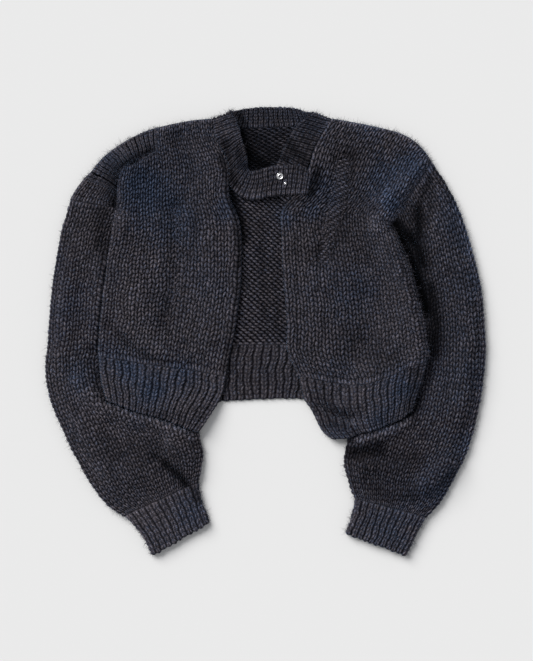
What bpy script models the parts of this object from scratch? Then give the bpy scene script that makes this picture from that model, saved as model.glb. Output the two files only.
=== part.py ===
"""Cropped chunky-knit cardigan, laid out flat with its front up.

The garment is modelled at its real size. Lengths in the tables are millimetres and the
finished meshes are metres. +X is to the right and +Y towards the neck as it is looked down
on; +Z is up and the cloth rests on z = 0. Left and right in the names are the wearer's, so
the right front is on the -X side.

Every knitted piece is one wall of cloth. A surface function gives its middle for u across
and v along the piece, and the wall is that surface moved half a thickness each way.
"""

import math

import bmesh
import bpy
import numpy as np

# Sizes

MM = 0.001          # metres in a millimetre
CLOTH = 4.5         # thickness of the chunky knit
SEAM = 0.3          # gap between pieces at a seam
LAYER = 5.8         # middle of one panel to the middle of the panel that lies on it
TUBE = 11.0         # height of a flattened sleeve or cuff, two walls and the slit between
LIFT = 12.4         # how far a sleeve under the body raises the back
RAMP_OUT = 46.0     # where the back starts to rise, before the sleeve's hidden edge
RAMP_IN = 0.5       # where it is fully up, past that edge
UNDERARM_RUN = 40.0 # length along the sleeve over which the body climbs onto it
RAMP_CLEAR = 0.7    # the front's extra distance from the back on that slope
EDGE_ROLL = 30.0    # width of the fuller strip along side, armhole and shoulder
PUFF = 5.0          # how far the loose part of a sleeve stands above its flat height
DROOP = 24.0        # how far past the back's hem the front's hem comes down

CORNER = 0.72       # how far up a panel the underarm and the foot of the neck are

HALF = CLOTH / 2.0
ROLL = (TUBE - CLOTH) / 2.0     # radius of the middle of the cloth at a folded edge
FULL = TUBE - CLOTH             # front above back where the body is fullest

# Outlines of the body panels: x, y

SIDE = {
    "right": [(-231, -36), (-231, -13), (-228, 22), (-224, 57), (-219, 97), (-213, 134),
              (-208, 172)],
    "left": [(224, -42), (227, -29), (224, -17), (220, 10), (214, 36), (203, 84),
             (189, 120), (178, 148)],
}
ARMHOLE = {
    "right": [(-208, 172), (-272, 183)],
    "left": [(178, 148), (231, 237)],
}
SHOULDER = {
    "right": [(-272, 183), (-265, 196), (-253, 212), (-241, 224), (-231, 237), (-215, 251),
              (-194, 265), (-165, 279), (-135, 287), (-104, 293), (-74, 296)],
    "left": [(231, 237), (221, 251), (207, 265), (191, 274), (176, 279), (146, 286),
             (110, 293), (92, 296)],
}
NECK = {
    "right": [(-74, 296), (-74, 286), (-72.5, 276), (-64, 258), (-55, 242), (-51, 225), (-52, 206)],
    "left": [(92, 296), (79, 275), (68, 253), (61, 228), (50, 202), (27, 175)],
}
OPENING = {
    "right": [(-52, 206), (-50, 186), (-43, 169), (-37, 153), (-34, 127), (-34, 97),
              (-36, 57), (-41, 18), (-47, -17), (-54, -52), (-55, -64)],
    "left": [(27, 175), (22, 162), (23, 134), (24, 106), (26, 78), (29, 36), (31, 8),
             (30, -18), (34, -36), (47, -63)],
}
BACK_NECK = [(-74, 296), (-74, 284), (-55, 283), (-29, 283), (4, 284), (37, 286), (62, 287),
             (90, 286), (92, 296)]

# Outlines of the hem ribs: x, y

RIB_TOP = {
    "right": [(-231, -36), (-213, -39), (-159, -48), (-120, -53), (-76, -60), (-55, -64)],
    "left": [(47, -63), (76, -69), (97, -73), (135, -76), (173, -63), (204, -49), (224, -42)],
    "back": [(-231, -36), (-141, -25), (-57, -20), (48, -20), (146, -29), (224, -42)],
}
RIB_SIDE = {
    "right": [(-231, -36), (-228, -69), (-220, -97)],
    "left": [(224, -42), (216, -69), (202, -112)],
}
RIB_OPENING = {
    "right": [(-55, -64), (-61, -90), (-74, -112), (-93, -141)],
    "left": [(47, -63), (54, -94), (65, -111), (79, -139), (92, -151)],
}
RIB_FOOT = {
    "right": [(-220, -97), (-178, -113), (-153, -119), (-136, -125), (-114, -134),
              (-93, -141)],
    "left": [(92, -151), (114, -150), (128, -144), (150, -139), (170, -130), (188, -123),
             (202, -112)],
    "back": [(-220, -97), (-141, -98), (-65, -98), (-5, -95), (57, -94), (118, -96),
             (167, -103), (202, -112)],
}

# Sleeves and cuffs, from the armhole down: outer x, outer y, inner x, inner y

SLEEVE = {
    "right": [(-272, 183, -210.5, 172.4), (-284, 141, -218.6, 142), (-291, 106, -217.5, 111),
              (-297, 67, -200, 71), (-301, 27, -178, 32), (-304, -15, -162, -7),
              (-307, -57, -150, -43), (-300, -97, -133, -76), (-284, -136, -115, -104),
              (-266, -174, -99, -132), (-244, -213, -90, -164), (-219, -244, -91, -193),
              (-197, -258, -96, -212)],
    "left": [(231, 237, 179.4, 150.3), (253, 203, 192, 127), (273, 161, 202.5, 100),
             (288, 113, 206, 70), (300, 64, 205, 36), (305, 15, 198, 1),
             (307, -34, 185, -31), (302, -80, 164, -62), (294, -125, 143, -91),
             (279, -174, 123, -132), (259, -213, 112, -178), (242, -241, 119, -214),
             (224, -260, 128, -235)],
}
CUFF = {
    "right": [(-197, -258, -96, -212), (-174, -283, -91, -239), (-165, -299, -85, -255),
              (-158, -314, -80, -269)],
    "left": [(224, -260, 128, -235), (210, -286, 122, -260), (203, -301, 118, -273),
             (196, -314, 114, -284)],
}

# Neckband from the end of the tab round the neck to the end that lies under the tab:
# seam edge x, y, free edge x, y, layers of cloth between it and the back

BAND = [
    (59, 192, 64, 221, 2.0), (46, 191, 50, 229, 2.0), (26, 190, 29, 231, 2.0),
    (6, 188, 8, 229, 2.0), (-13, 184, -8, 224, 1.7), (-31, 187, -19, 222, 1.2),
    (-43, 195, -24, 226, 1.0), (-51.4, 207, -25, 235, 1.0), (-50.3, 225, -28, 247, 1.0),
    (-54.3, 242, -31, 261, 1.0), (-63.3, 258, -35, 275, 1.0), (-71.0, 276, -39, 288, 1.0),
    (-71.2, 285, -41, 297, 0.95), (-71.5, 295, -48, 303.5, 0.6), (-63, 289, -43, 307.5, 0.2),
    (-53, 285, -37, 310, 0.05), (-29, 285, -26, 312, 0.0), (4, 286, 4, 314, 0.0),
    (37, 288, 34, 313, 0.0), (60, 288.5, 48, 310.5, 0.05), (74, 291, 56, 307.5, 0.2),
    (88, 296, 66, 304, 0.6), (85.6, 287, 55, 297, 0.95), (78.4, 275, 43, 286, 1.0),
    (67.0, 253, 30, 264, 1.0), (59.6, 228, 22, 246, 1.0), (48.6, 202.5, 13, 226, 1.0),
    (29, 179, 3, 204, 1.0),
]

# Largest folds of each upper panel: path of x, y, half width, height (minus is a crease)

FOLDS = {
    "right_front": [
        ([(-166, 241), (-186, 229), (-196, 215), (-199, 190), (-203, 160)], 22, 5.0),
        ([(-240, 216), (-222, 205), (-211, 190)], 8, -2.2),
    ],
    "left_front": [
        ([(224, 250), (190, 230), (162, 213), (148, 195), (144, 172)], 17, 6.5),
        ([(206, 181), (190, 160), (178, 142)], 7, -1.6),
        ([(70, -128), (92, -126), (118, -136)], 7, 3.0),
    ],
    "right_sleeve": [
        ([(-163, -164), (-139, -183), (-122, -199), (-100, -208)], 8, -4.0),
        ([(-122, -150), (-108, -170), (-104, -190)], 14, 4.0),
    ],
    "left_sleeve": [
        ([(232, 216), (227, 195), (213, 160), (206, 139)], 9, -3.5),
        ([(132, -160), (142, -190), (165, -212)], 14, -3.5),
        ([(262, -185), (219, -221), (187, -223)], 15, 4.0),
    ],
}

# Press fastener on the tab: x, y, outer diameter, hole diameter, thickness

SOCKET = (20.0, 216.0, 9.6, 3.2, 1.4)
STUD = (27.5, 206.0, 5.0, 0.0, 1.6)

# Cells along u and v of each piece

CELLS = {
    "front": (9, 10, 7), "back": (23, 10, 6), "hem": 4, "sleeve": (7, 20), "cuff": (7, 3),
    "band": (3, 46),
}

YARN = (0.022, 0.022, 0.029, 1.0)
METAL = (0.62, 0.63, 0.66, 1.0)


# Curves

def smooth(points, steps=10):
    """A dense curve through the points, Catmull-Rom, its ends included."""
    p = np.asarray(points, float)
    if len(p) == 2:
        t = np.linspace(0, 1, steps + 1)[:, None]
        return p[0] * (1 - t) + p[1] * t
    ext = np.vstack([2 * p[0] - p[1], p, 2 * p[-1] - p[-2]])
    out = []
    t = np.arange(steps)[:, None] / steps
    for i in range(len(p) - 1):
        a, b, c, d = ext[i:i + 4]
        out.append(0.5 * (2 * b + (c - a) * t + (2 * a - 5 * b + 4 * c - d) * t ** 2
                          + (3 * b - a - 3 * c + d) * t ** 3))
    return np.vstack(out + [p[-1:]])


def joined(*curves):
    """Curves end to end as one path, each smooth in itself."""
    parts = [smooth(c) for c in curves]
    return np.vstack([parts[0]] + [c[1:] for c in parts[1:]])


def along(path, t):
    """Points at fractions t of a path's length; a pair of paths meets at t = CORNER."""
    if isinstance(path, tuple):
        low = along(path[0], np.clip(t / CORNER, 0, 1))
        high = along(path[1], np.clip((t - CORNER) / (1 - CORNER), 0, 1))
        return np.where((t < CORNER)[..., None], low, high)
    steps = np.hypot(*np.diff(path, axis=0)[:, :2].T)
    s = np.concatenate([[0], np.cumsum(steps)]) / steps.sum()
    return np.stack([np.interp(t, s, path[:, k]) for k in range(path.shape[1])], -1)


def from_path(x, y, path):
    """Distance to a path, the side of it (plus is left of its run) and the length along."""
    best = np.full(np.shape(x), 1e9)
    side = np.zeros(np.shape(x))
    run = np.zeros(np.shape(x))
    start = 0.0
    for (ax, ay), (bx, by) in zip(path[:-1], path[1:]):
        dx, dy = bx - ax, by - ay
        size = math.hypot(dx, dy)
        if size < 1e-9:
            continue
        t = np.clip(((x - ax) * dx + (y - ay) * dy) / size ** 2, 0, 1)
        d = np.hypot(x - ax - t * dx, y - ay - t * dy)
        near = d < best
        best = np.where(near, d, best)
        side = np.where(near, np.sign(dx * (y - ay) - dy * (x - ax)), side)
        run = np.where(near, start + t * size, run)
        start += size
    return best, side, run


def ease(t):
    """A soft step from 0 to 1."""
    t = np.clip(t, 0, 1)
    return t * t * (3 - 2 * t)


# Heights

HIDDEN_EDGE = {s: smooth([(r[2], r[3]) for r in SLEEVE[s]]) for s in SLEEVE}
BODY_EDGE = {s: joined(RIB_SIDE[s][::-1], SIDE[s]) for s in SIDE}
RIM_FOOT = {"right": RIB_FOOT["right"], "left": RIB_FOOT["left"][::-1]}
BODY_RIM = {s: joined(SIDE[s][::-1], RIB_SIDE[s], RIM_FOOT[s], RIB_OPENING[s][::-1])
            for s in SIDE}
OUTER_EDGE = {s: joined(RIB_SIDE[s][::-1], SIDE[s], ARMHOLE[s], SHOULDER[s]) for s in SIDE}
BACK_FOOT = smooth(RIB_FOOT["back"])
INWARD = {"right": -1, "left": 1}


def lift(x, y):
    """How far the sleeves under the body raise the back at a place."""
    top = np.zeros(np.shape(x))
    for s, edge in HIDDEN_EDGE.items():
        d, side, run = from_path(x, y, edge)
        past = d * side * INWARD[s]
        ramp = ease((past + RAMP_OUT) / (RAMP_OUT + RAMP_IN))
        top = np.maximum(top, LIFT * ramp * ease(run / UNDERARM_RUN))
    return top


def stretch(x, y, step=1.0):
    """Upright distance that keeps layers apart by 1 square to a slope."""
    gx = (lift(x + step, y) - lift(x - step, y)) / (2 * step)
    gy = (lift(x, y + step) - lift(x, y - step)) / (2 * step)
    return np.sqrt(1 + gx ** 2 + gy ** 2)


def folds(name, x, y):
    total = np.zeros(np.shape(x))
    for points, width, height in FOLDS.get(name, []):
        d, _, _ = from_path(x, y, smooth(points, 4))
        total += height * np.exp(-(d / width) ** 2)
    return total


def rolled(d):
    """Drop of the cloth's middle at a distance in from a folded edge."""
    d = np.clip(d, 0, ROLL)
    return ROLL - np.sqrt(np.maximum(ROLL ** 2 - (ROLL - d) ** 2, 0))


def front_rise(name, x, y):
    """Middle of a front panel above the middle of the back."""
    side = name.split("_")[0]
    edge, _, _ = from_path(x, y, OUTER_EDGE[side])
    rise = LAYER + (FULL - LAYER) * (1 - ease(edge / EDGE_ROLL))
    rise = rise + folds(side + "_front", x, y) * ease(edge / 12)
    part_up = lift(x, y) / LIFT
    rise = rise + RAMP_CLEAR * ease(part_up * 8) * ease((1 - part_up) * 8)
    foot, over, _ = from_path(x, y, BACK_FOOT)
    return rise - LAYER * 0.92 * ease((-foot * over - 6.0) / DROOP)


def edge_roll(x, y, side):
    """Drop at the side seam and the shoulder; none where a sleeve is sewn on."""
    seam, _, _ = from_path(x, y, BODY_EDGE[side])
    ax, ay = ARMHOLE[side][0]
    fade = ease(np.hypot(x - ax, y - ay) / 22)
    top, _, _ = from_path(x, y, smooth(SHOULDER[side]))
    return np.maximum(rolled(seam) * fade, rolled(top))


# Surfaces: u and v are arrays from 0 to 1, the result is x, y, z

def patch(left, right, foot, head):
    """A flat patch filled in between four edge paths."""
    def place(u, v):
        u_, v_ = u[..., None], v[..., None]
        sides = (1 - u_) * along(left, v) + u_ * along(right, v)
        ends = (1 - v_) * along(foot, u) + v_ * along(head, u)
        corners = ((1 - u_) * ((1 - v_) * foot[0] + v_ * head[0])
                   + u_ * ((1 - v_) * foot[-1] + v_ * head[-1]))
        return sides + ends - corners
    return place


def body_panel(name, place, is_front):
    def surface(u, v):
        p = place(u, v)
        x, y = p[..., 0], p[..., 1]
        roll = np.zeros(np.shape(x))
        for side in (("right", "left") if name.startswith("back") else (name.split("_")[0],)):
            roll = np.maximum(roll, edge_roll(x, y, side))
        q = stretch(x, y)
        if is_front:
            z = lift(x, y) + HALF * q + front_rise(name, x, y) * q - roll
        else:
            z = lift(x, y) + HALF * q + roll
        return np.stack([x, y, z], -1)
    return surface


def tube(name, table):
    """A flattened sleeve or cuff: u runs round it, from the outer fold over the top."""
    rows = np.asarray(table, float)
    outer, inner = smooth(rows[:, :2]), smooth(rows[:, 2:])
    side = name.split("_")[0]
    ends = 0.16

    def surface(u, v):
        s = v * (len(outer) - 1)
        a = np.stack([np.interp(s, np.arange(len(outer)), outer[:, k]) for k in (0, 1)], -1)
        b = np.stack([np.interp(s, np.arange(len(inner)), inner[:, k]) for k in (0, 1)], -1)
        width = np.linalg.norm(b - a, axis=-1)
        ray = (b - a) / width[..., None]
        over = u <= 0.5
        w = np.where(over, u * 2, 2 - u * 2)
        near, far = np.clip(w / ends, 0, 1), np.clip((1 - w) / ends, 0, 1)
        turn = np.minimum(near, far) * math.pi / 2
        flat = np.clip((w - ends) / (1 - 2 * ends), 0, 1)
        d = ROLL * (1 - np.cos(near * math.pi / 2)) + flat * (width - 2 * ROLL) \
            + ROLL * np.cos(far * math.pi / 2)
        x, y = a[..., 0] + ray[..., 0] * d, a[..., 1] + ray[..., 1] * d
        rim, out, _ = from_path(x, y, BODY_RIM[side])
        clear = rim * out * INWARD[side]
        room = np.minimum(d, width - d)
        loose = PUFF * ease((clear - 4) / 34) * ease((room - 1) / 30)
        loose = loose + folds(name, x, y) * ease((clear - 4) / 12) * ease((room - 1) / 14)
        loose = loose * ease(v * 7) if name.endswith("sleeve") else loose * 0.0
        z = TUBE / 2 + np.where(over, 1, -1) * ROLL * np.sin(turn)
        z = z + np.where(over, np.sin(turn) * loose, 0)
        return np.stack([x, y, z], -1)
    return surface


def band(table):
    rows = smooth(table)

    def surface(u, v):
        s = v * (len(rows) - 1)
        r = np.stack([np.interp(s, np.arange(len(rows)), rows[:, k]) for k in range(5)], -1)
        p = r[..., 0:2] * (1 - u[..., None]) + r[..., 2:4] * u[..., None]
        x, y = p[..., 0], p[..., 1]
        z = lift(x, y) + HALF + LAYER * r[..., 4]
        return np.stack([x, y, z], -1)
    return surface


# Solids

def wall(name, surface, us, vs, material, collection, closed_round=False, seams=(0,),
         armhole=2.0):
    """One wall of cloth: the surface moved half a thickness each way, edges filled.

    seams lists the rows, first or last, that face another piece: their rims stand square
    to the seam, so the two pieces meet rim to rim. So do the sides above v = armhole.
    """
    u, v = np.meshgrid(np.asarray(us, float), np.asarray(vs, float))
    e = 1e-4
    mid = surface(u, v)
    if closed_round:
        du = surface((u + e) % 1.0, v) - surface((u - e) % 1.0, v)
    else:
        du = surface(np.clip(u + e, 0, 1), v) - surface(np.clip(u - e, 0, 1), v)
    dv = surface(u, np.clip(v + e, 0, 1)) - surface(u, np.clip(v - e, 0, 1))
    n = np.cross(du, dv)
    rows, cols = u.shape
    for i in seams:
        if closed_round:
            line = mid[i, cols // 2, :2] - mid[i, 0, :2]
        else:
            line = mid[i, np.minimum(np.arange(cols) + 2, cols - 1), :2] \
                - mid[i, np.maximum(np.arange(cols) - 2, 0), :2]
        across = np.stack([-line[..., 1], line[..., 0], 0 * line[..., 0]], -1)
        across = across / np.linalg.norm(across, axis=-1)[..., None]
        n[i] -= (n[i] * across).sum(-1)[..., None] * across
    if not closed_round:
        for j in (0, cols - 1):
            line = np.gradient(mid[:, j, :2], axis=0)
            across = np.stack([-line[:, 1], line[:, 0], 0 * line[:, 0]], -1)
            across = across / np.linalg.norm(across, axis=-1)[..., None]
            level = (np.abs(n[:, j, 2]) > 0.6 * np.linalg.norm(n[:, j], axis=-1))[:, None]
            level = level | (v[:, j] > armhole)[:, None]
            n[:, j] -= level * (n[:, j] * across).sum(-1)[..., None] * across
    n = n / np.linalg.norm(n, axis=-1)[..., None]
    bm = bmesh.new()
    grid = {}
    for face, offset in (("a", HALF), ("b", -HALF)):
        pts = (mid + n * offset) * MM
        for i in range(rows):
            for j in range(cols):
                grid[face, i, j] = bm.verts.new(pts[i, j])
    around = cols if closed_round else cols - 1
    for i in range(rows - 1):
        for j in range(around):
            k = (j + 1) % cols
            bm.faces.new([grid["a", i, j], grid["a", i, k], grid["a", i + 1, k],
                          grid["a", i + 1, j]])
            bm.faces.new([grid["b", i, j], grid["b", i + 1, j], grid["b", i + 1, k],
                          grid["b", i, k]])
    for i in (0, rows - 1):
        for j in range(around):
            k = (j + 1) % cols
            bm.faces.new([grid["a", i, j], grid["b", i, j], grid["b", i, k],
                          grid["a", i, k]])
    if not closed_round:
        for j in (0, cols - 1):
            for i in range(rows - 1):
                bm.faces.new([grid["a", i, j], grid["a", i + 1, j], grid["b", i + 1, j],
                              grid["b", i, j]])
    bmesh.ops.recalc_face_normals(bm, faces=bm.faces)
    return add_object(name, bm, material, collection)


def add_object(name, bm, material, collection):
    mesh = bpy.data.meshes.new(name)
    bm.to_mesh(mesh)
    bm.free()
    mesh.materials.append(material)
    obj = bpy.data.objects.new(name, mesh)
    collection.objects.link(obj)
    return obj


def disc(name, spec, base, material, collection, sides=20):
    """A fastener half lying on the tab: a ring, or a plain button where it has no hole."""
    x, y, outer, hole, thick = spec
    profile = ([(hole / 2, 0.0), (outer / 2 - 0.5, 0.0), (outer / 2, 0.45),
                (outer / 2 - 0.5, thick), (hole / 2, thick)] if hole else
               [(0.0, 0.0), (outer / 2 - 0.4, 0.0), (outer / 2, 0.5),
                (outer / 2 - 0.6, thick), (0.0, thick)])
    bm = bmesh.new()
    rings = []
    for r, z in profile:
        if r == 0.0:
            rings.append([bm.verts.new((x * MM, y * MM, (base + z) * MM))] * sides)
            continue
        rings.append([bm.verts.new(((x + r * math.cos(2 * math.pi * k / sides)) * MM,
                                    (y + r * math.sin(2 * math.pi * k / sides)) * MM,
                                    (base + z) * MM)) for k in range(sides)])
    pairs = list(zip(rings, rings[1:]))
    if hole:
        pairs.append((rings[-1], rings[0]))
    for low, high in pairs:
        for k in range(sides):
            loop = [low[k], low[(k + 1) % sides], high[(k + 1) % sides], high[k]]
            loop = [p for i, p in enumerate(loop) if p not in loop[:i]]
            bm.faces.new(loop)
    bmesh.ops.recalc_face_normals(bm, faces=bm.faces)
    return add_object(name, bm, material, collection)


def make_material(name, colour, roughness, metallic):
    material = bpy.data.materials.new(name)
    material.use_nodes = True
    shader = material.node_tree.nodes["Principled BSDF"]
    shader.inputs["Base Color"].default_value = colour
    shader.inputs["Roughness"].default_value = roughness
    shader.inputs["Metallic"].default_value = metallic
    return material


def spaced(count, length, near=False, far=False, above=0):
    """Fractions for the cells across a piece, with close ones where an edge is rolled.

    With above, count cells lie below the corner of the panel and above cells past it.
    """
    trim = SEAM / 2 / length
    roll = [trim, 1.0 / length, 3.3 / length]
    lead = roll if near else [trim]
    tail = [1 - t for t in reversed(roll)] if far else [1 - trim]
    if above:
        inner = list(np.linspace(lead[-1], CORNER, count + 1)[1:]) \
            + list(np.linspace(CORNER, tail[0], above + 1)[1:-1])
    else:
        inner = list(np.linspace(lead[-1], tail[0], count + 1)[1:-1])
    return lead + inner + tail


def build():
    for obj in list(bpy.data.objects):
        bpy.data.objects.remove(obj, do_unlink=True)
    pieces = bpy.data.collections.new("cardigan")
    bpy.context.scene.collection.children.link(pieces)

    knit = {n: make_material(n + "_knit", YARN, 0.95, 0.0)
            for n in ("back", "back_hem", "right_front", "right_front_hem", "left_front",
                      "left_front_hem", "right_sleeve", "right_cuff", "left_sleeve",
                      "left_cuff", "neckband")}
    metal = {n: make_material(n + "_metal", METAL, 0.3, 1.0)
             for n in ("snap_socket", "snap_stud")}

    # Back: one panel from the hem rib to shoulders and back neck, and its rib
    outer = {s: (smooth(SIDE[s]), smooth(ARMHOLE[s])) for s in SIDE}
    head = joined(SHOULDER["right"], BACK_NECK, SHOULDER["left"][::-1])
    foot = smooth(RIB_TOP["back"])
    across = spaced(CELLS["back"][0], 450, True, True)
    wall("back", body_panel("back", patch(outer["right"], outer["left"], foot, head), False),
         across, spaced(CELLS["back"][1], 300, False, True, CELLS["back"][2]), knit["back"], pieces,
         armhole=CORNER)
    wall("back_hem", body_panel("back_hem", patch(
        smooth(RIB_SIDE["right"][::-1]), smooth(RIB_SIDE["left"][::-1]),
        smooth(RIB_FOOT["back"]), foot), False),
        across, spaced(CELLS["hem"], 75), knit["back_hem"], pieces, seams=(-1,))

    for s in ("right", "left"):
        # Front and its rib: side seam and armhole on one edge, opening and neck on the other
        opening = (smooth(OPENING[s][::-1]), smooth(NECK[s][::-1]))
        foot, head = smooth(RIB_TOP[s]), smooth(SHOULDER[s])
        panel = [outer[s], opening]
        rib = [smooth(RIB_SIDE[s][::-1]), smooth(RIB_OPENING[s][::-1])]
        if s == "left":
            head, panel, rib = head[::-1], panel[::-1], rib[::-1]
        across = spaced(CELLS["front"][0], 180, s == "right", s == "left")
        wall(s + "_front", body_panel(s + "_front", patch(*panel, foot, head), True), across,
             spaced(CELLS["front"][1], 330, False, True, CELLS["front"][2]), knit[s + "_front"],
             pieces, armhole=CORNER)
        wall(s + "_front_hem", body_panel(s + "_front_hem", patch(
            *rib, smooth(RIB_FOOT[s]), foot), True), across, spaced(CELLS["hem"], 75),
            knit[s + "_front_hem"], pieces, seams=(-1,))

        # Sleeve and cuff: each is one tube, flattened, open at both ends
        for part, kind, length in (("_sleeve", SLEEVE, 470), ("_cuff", CUFF, 58)):
            cells, down = CELLS[part[1:]]
            over = [0.0, 0.08] + list(np.linspace(0.16, 0.84, cells + 1)) + [0.92]
            under = [1.0, 0.92, 0.84, 0.61, 0.39, 0.16, 0.08]
            trim = SEAM / 2 / length
            wall(s + part, tube(s + part, kind[s]),
                 [t / 2 for t in over] + [1 - t / 2 for t in under],
                 np.linspace(2.5 * trim, 1 - trim, down + 1), knit[s + part], pieces, True,
                 seams=(0, -1))

    # Neckband: one strip from the tab round the neck to its hidden end
    across, down = CELLS["band"]
    collar = band(BAND)
    wall("neckband", collar, np.linspace(0, 1, across + 1), np.linspace(0, 1, down + 1),
         knit["neckband"], pieces, seams=())

    # Press fastener halves on the tab
    tab_top = 2 * LAYER + CLOTH + SEAM
    disc("snap_socket", SOCKET, tab_top, metal["snap_socket"], pieces)
    disc("snap_stud", STUD, tab_top, metal["snap_stud"], pieces)


build()
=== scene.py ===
"""Looks of the chunky-knit cardigan: stitched cloth, press fastener, floor, light and camera.

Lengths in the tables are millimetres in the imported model's own frame: +X is to the right and
+Y towards the neck as the garment is looked down on, and it rests on z = 0. Left and right in
names are the wearer's. Each knitted piece is a closed shell on its CAD solid's form. Places on
it are counted in stitches: s in wales (columns of stitches) and t in courses (rows).
"""

import math

import bpy
import numpy as np
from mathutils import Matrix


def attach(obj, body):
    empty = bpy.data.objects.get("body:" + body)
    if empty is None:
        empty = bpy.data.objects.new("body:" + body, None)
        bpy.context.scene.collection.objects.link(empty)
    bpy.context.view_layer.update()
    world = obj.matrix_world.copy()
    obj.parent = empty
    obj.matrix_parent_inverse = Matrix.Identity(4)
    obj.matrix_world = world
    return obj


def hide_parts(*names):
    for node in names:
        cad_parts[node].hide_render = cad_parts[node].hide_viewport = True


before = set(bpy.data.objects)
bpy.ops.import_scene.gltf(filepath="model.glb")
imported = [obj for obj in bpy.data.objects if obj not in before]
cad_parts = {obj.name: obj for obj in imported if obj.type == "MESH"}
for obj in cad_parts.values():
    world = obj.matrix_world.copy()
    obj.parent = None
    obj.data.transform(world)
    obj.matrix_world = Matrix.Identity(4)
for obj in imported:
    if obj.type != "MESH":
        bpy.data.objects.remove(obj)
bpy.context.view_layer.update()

# Heights and distances of the laid cloth. They follow the CAD, but puff and folds are fuller.

MM = 0.001
CLOTH = 4.5             # thickness of the knit
LAYER = 5.8             # middle of one panel to the middle of the panel that lies on it
TUBE = 11.0             # height of a flattened sleeve or cuff
LIFT = 12.4             # how far a sleeve under the body raises the back
RAMP_OUT = 46.0         # where the back starts to rise, before the sleeve's hidden edge
RAMP_IN = 0.5           # where it is fully up, past that edge
UNDERARM_RUN = 40.0     # length along the sleeve over which the body climbs onto it
RAMP_CLEAR = 0.7        # the front's extra distance from the back on that slope
EDGE_ROLL = 30.0        # width of the fuller strip along side, armhole and shoulder
SEAM_FADE = 22.0        # how far from the armhole's foot the side seam is fully rolled
FOLD_IN = 12.0          # how far in from its outer edge a front's folds have their height
DROOP_START = 6.0       # how far past the back's hem the front's hem starts to come down
DROOP = 24.0            # width over which it does
DROOP_SHARE = 0.92      # how much of a layer it comes down
PUFF = 7.0              # how far the loose part of a sleeve stands above its flat height
PUFF_IN = 26.0          # how far in from a sleeve's folded edge it has that height
NEAR_BODY = {"right": 6.0, "left": 34.0}    # how far from the body's edge it has it
TUCKS = (5.0, 6.0, 4.0)     # how much further in the sleeve's second to fourth rows reach
FOLD_GAIN = 1.5         # how much fuller the folds are than their heights in the table
CURL = 9.0              # how far the right side of the neckband stands up
TALL = 24.0             # where the cloth's middle starts to be pressed flat
TALL_ROOM = 5.6         # how much higher it can still rise
CORNER = 0.72           # how far up a panel the underarm and the foot of the neck are
HALF = CLOTH / 2.0
ROLL = (TUBE - CLOTH) / 2.0     # radius of the middle of the cloth at a folded edge
FULL = TUBE - CLOTH     # front above back where the body is fullest

# Gauge of the knitting

WALE = 8.6              # width of a stitch
COURSE = 7.0            # height of a stitch
RIB = 11.0              # width of one rib of the hem and cuffs
BAND_RIB = 9.0          # width of one rib of the neckband
SLANT = 0.55            # how far the outside of a V stands above its point, in courses
CREST = 2.6             # yarn's crest above the groove beside it
RIB_DEEP = 1.0          # how much deeper the groove between two ribs is
SCALLOP = 1.0           # how far the edge stitches bulge past a free edge
ROUND = 3.5             # width over which a free edge is rounded
BAND_ROUND = 2.0        # the same along the neckband's seam, which stands up
PUCKER = 4.5            # depth of the grooves in the gathered fan under the pleat

# Unevenness of the knitting, in stitches: courses that wander, single stitches off their
# course, and wales that sway in wide and in fine waves

DRIFT, JITTER = 0.45, 0.10
SWAY_WIDE, SWAY_FINE = 0.16, 0.12

# Loose fibres

HAIRS = 0.19            # fibres for each point of the stitches
EDGE_HAIRS = 9.0        # how many times as many more where the cloth stands upright
HAIR_SHORT, HAIR_LONG = 2.5, 8.5
HAIR_WIDTH = 0.26
HAIR_LOW, HAIR_HIGH = 0.2, 33.5     # heights that they keep between

# Wales of the back that show in the opening and the neck; the others are knitted plainer

SEEN_WALES = (19, 35)

# Each piece of cloth: seed, wales or ribs, courses, flat size in metres, its area in square
# metres and what it lies on. A tube's wales are those of one layer.

CUT = {
    "back": (41, 52, 44, (0.50, 0.34), 0.139, ["floor", "right_sleeve", "left_sleeve"]),
    "back_hem": (43, 40, 13, (0.46, 0.09), 0.0330, ["floor", "right_sleeve", "left_sleeve"]),
    "right_front": (11, 20, 50, (0.25, 0.36), 0.064, ["back"]),
    "left_front": (23, 20, 49, (0.25, 0.36), 0.064, ["back"]),
    "right_front_hem": (31, 16, 13, (0.20, 0.09), 0.0130, ["back_hem", "right_sleeve"]),
    "left_front_hem": (37, 16, 13, (0.20, 0.09), 0.0130, ["back_hem", "left_sleeve"]),
    "right_sleeve": (51, 20, 66, (0.35, 0.48), 0.130, ["floor"]),
    "left_sleeve": (57, 20, 66, (0.35, 0.48), 0.130, ["floor"]),
    "right_cuff": (61, 11, 8, (0.24, 0.065), 0.0120, ["floor"]),
    "left_cuff": (67, 11, 8, (0.24, 0.065), 0.0120, ["floor"]),
    "neckband": (71, 66, 6, (0.60, 0.042), 0.0252, ["back"]),
}

# Width and height over which a panel's wales and courses are shared out

FRONT_WIDE, FRONT_TALL = 170, 330
BACK_WIDE, BACK_TALL = 450, 300
HEM_TALL = 75
FAN_WIDE, FAN_TALL = 130, 55

# Outlines of the body panels: x, y

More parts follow.
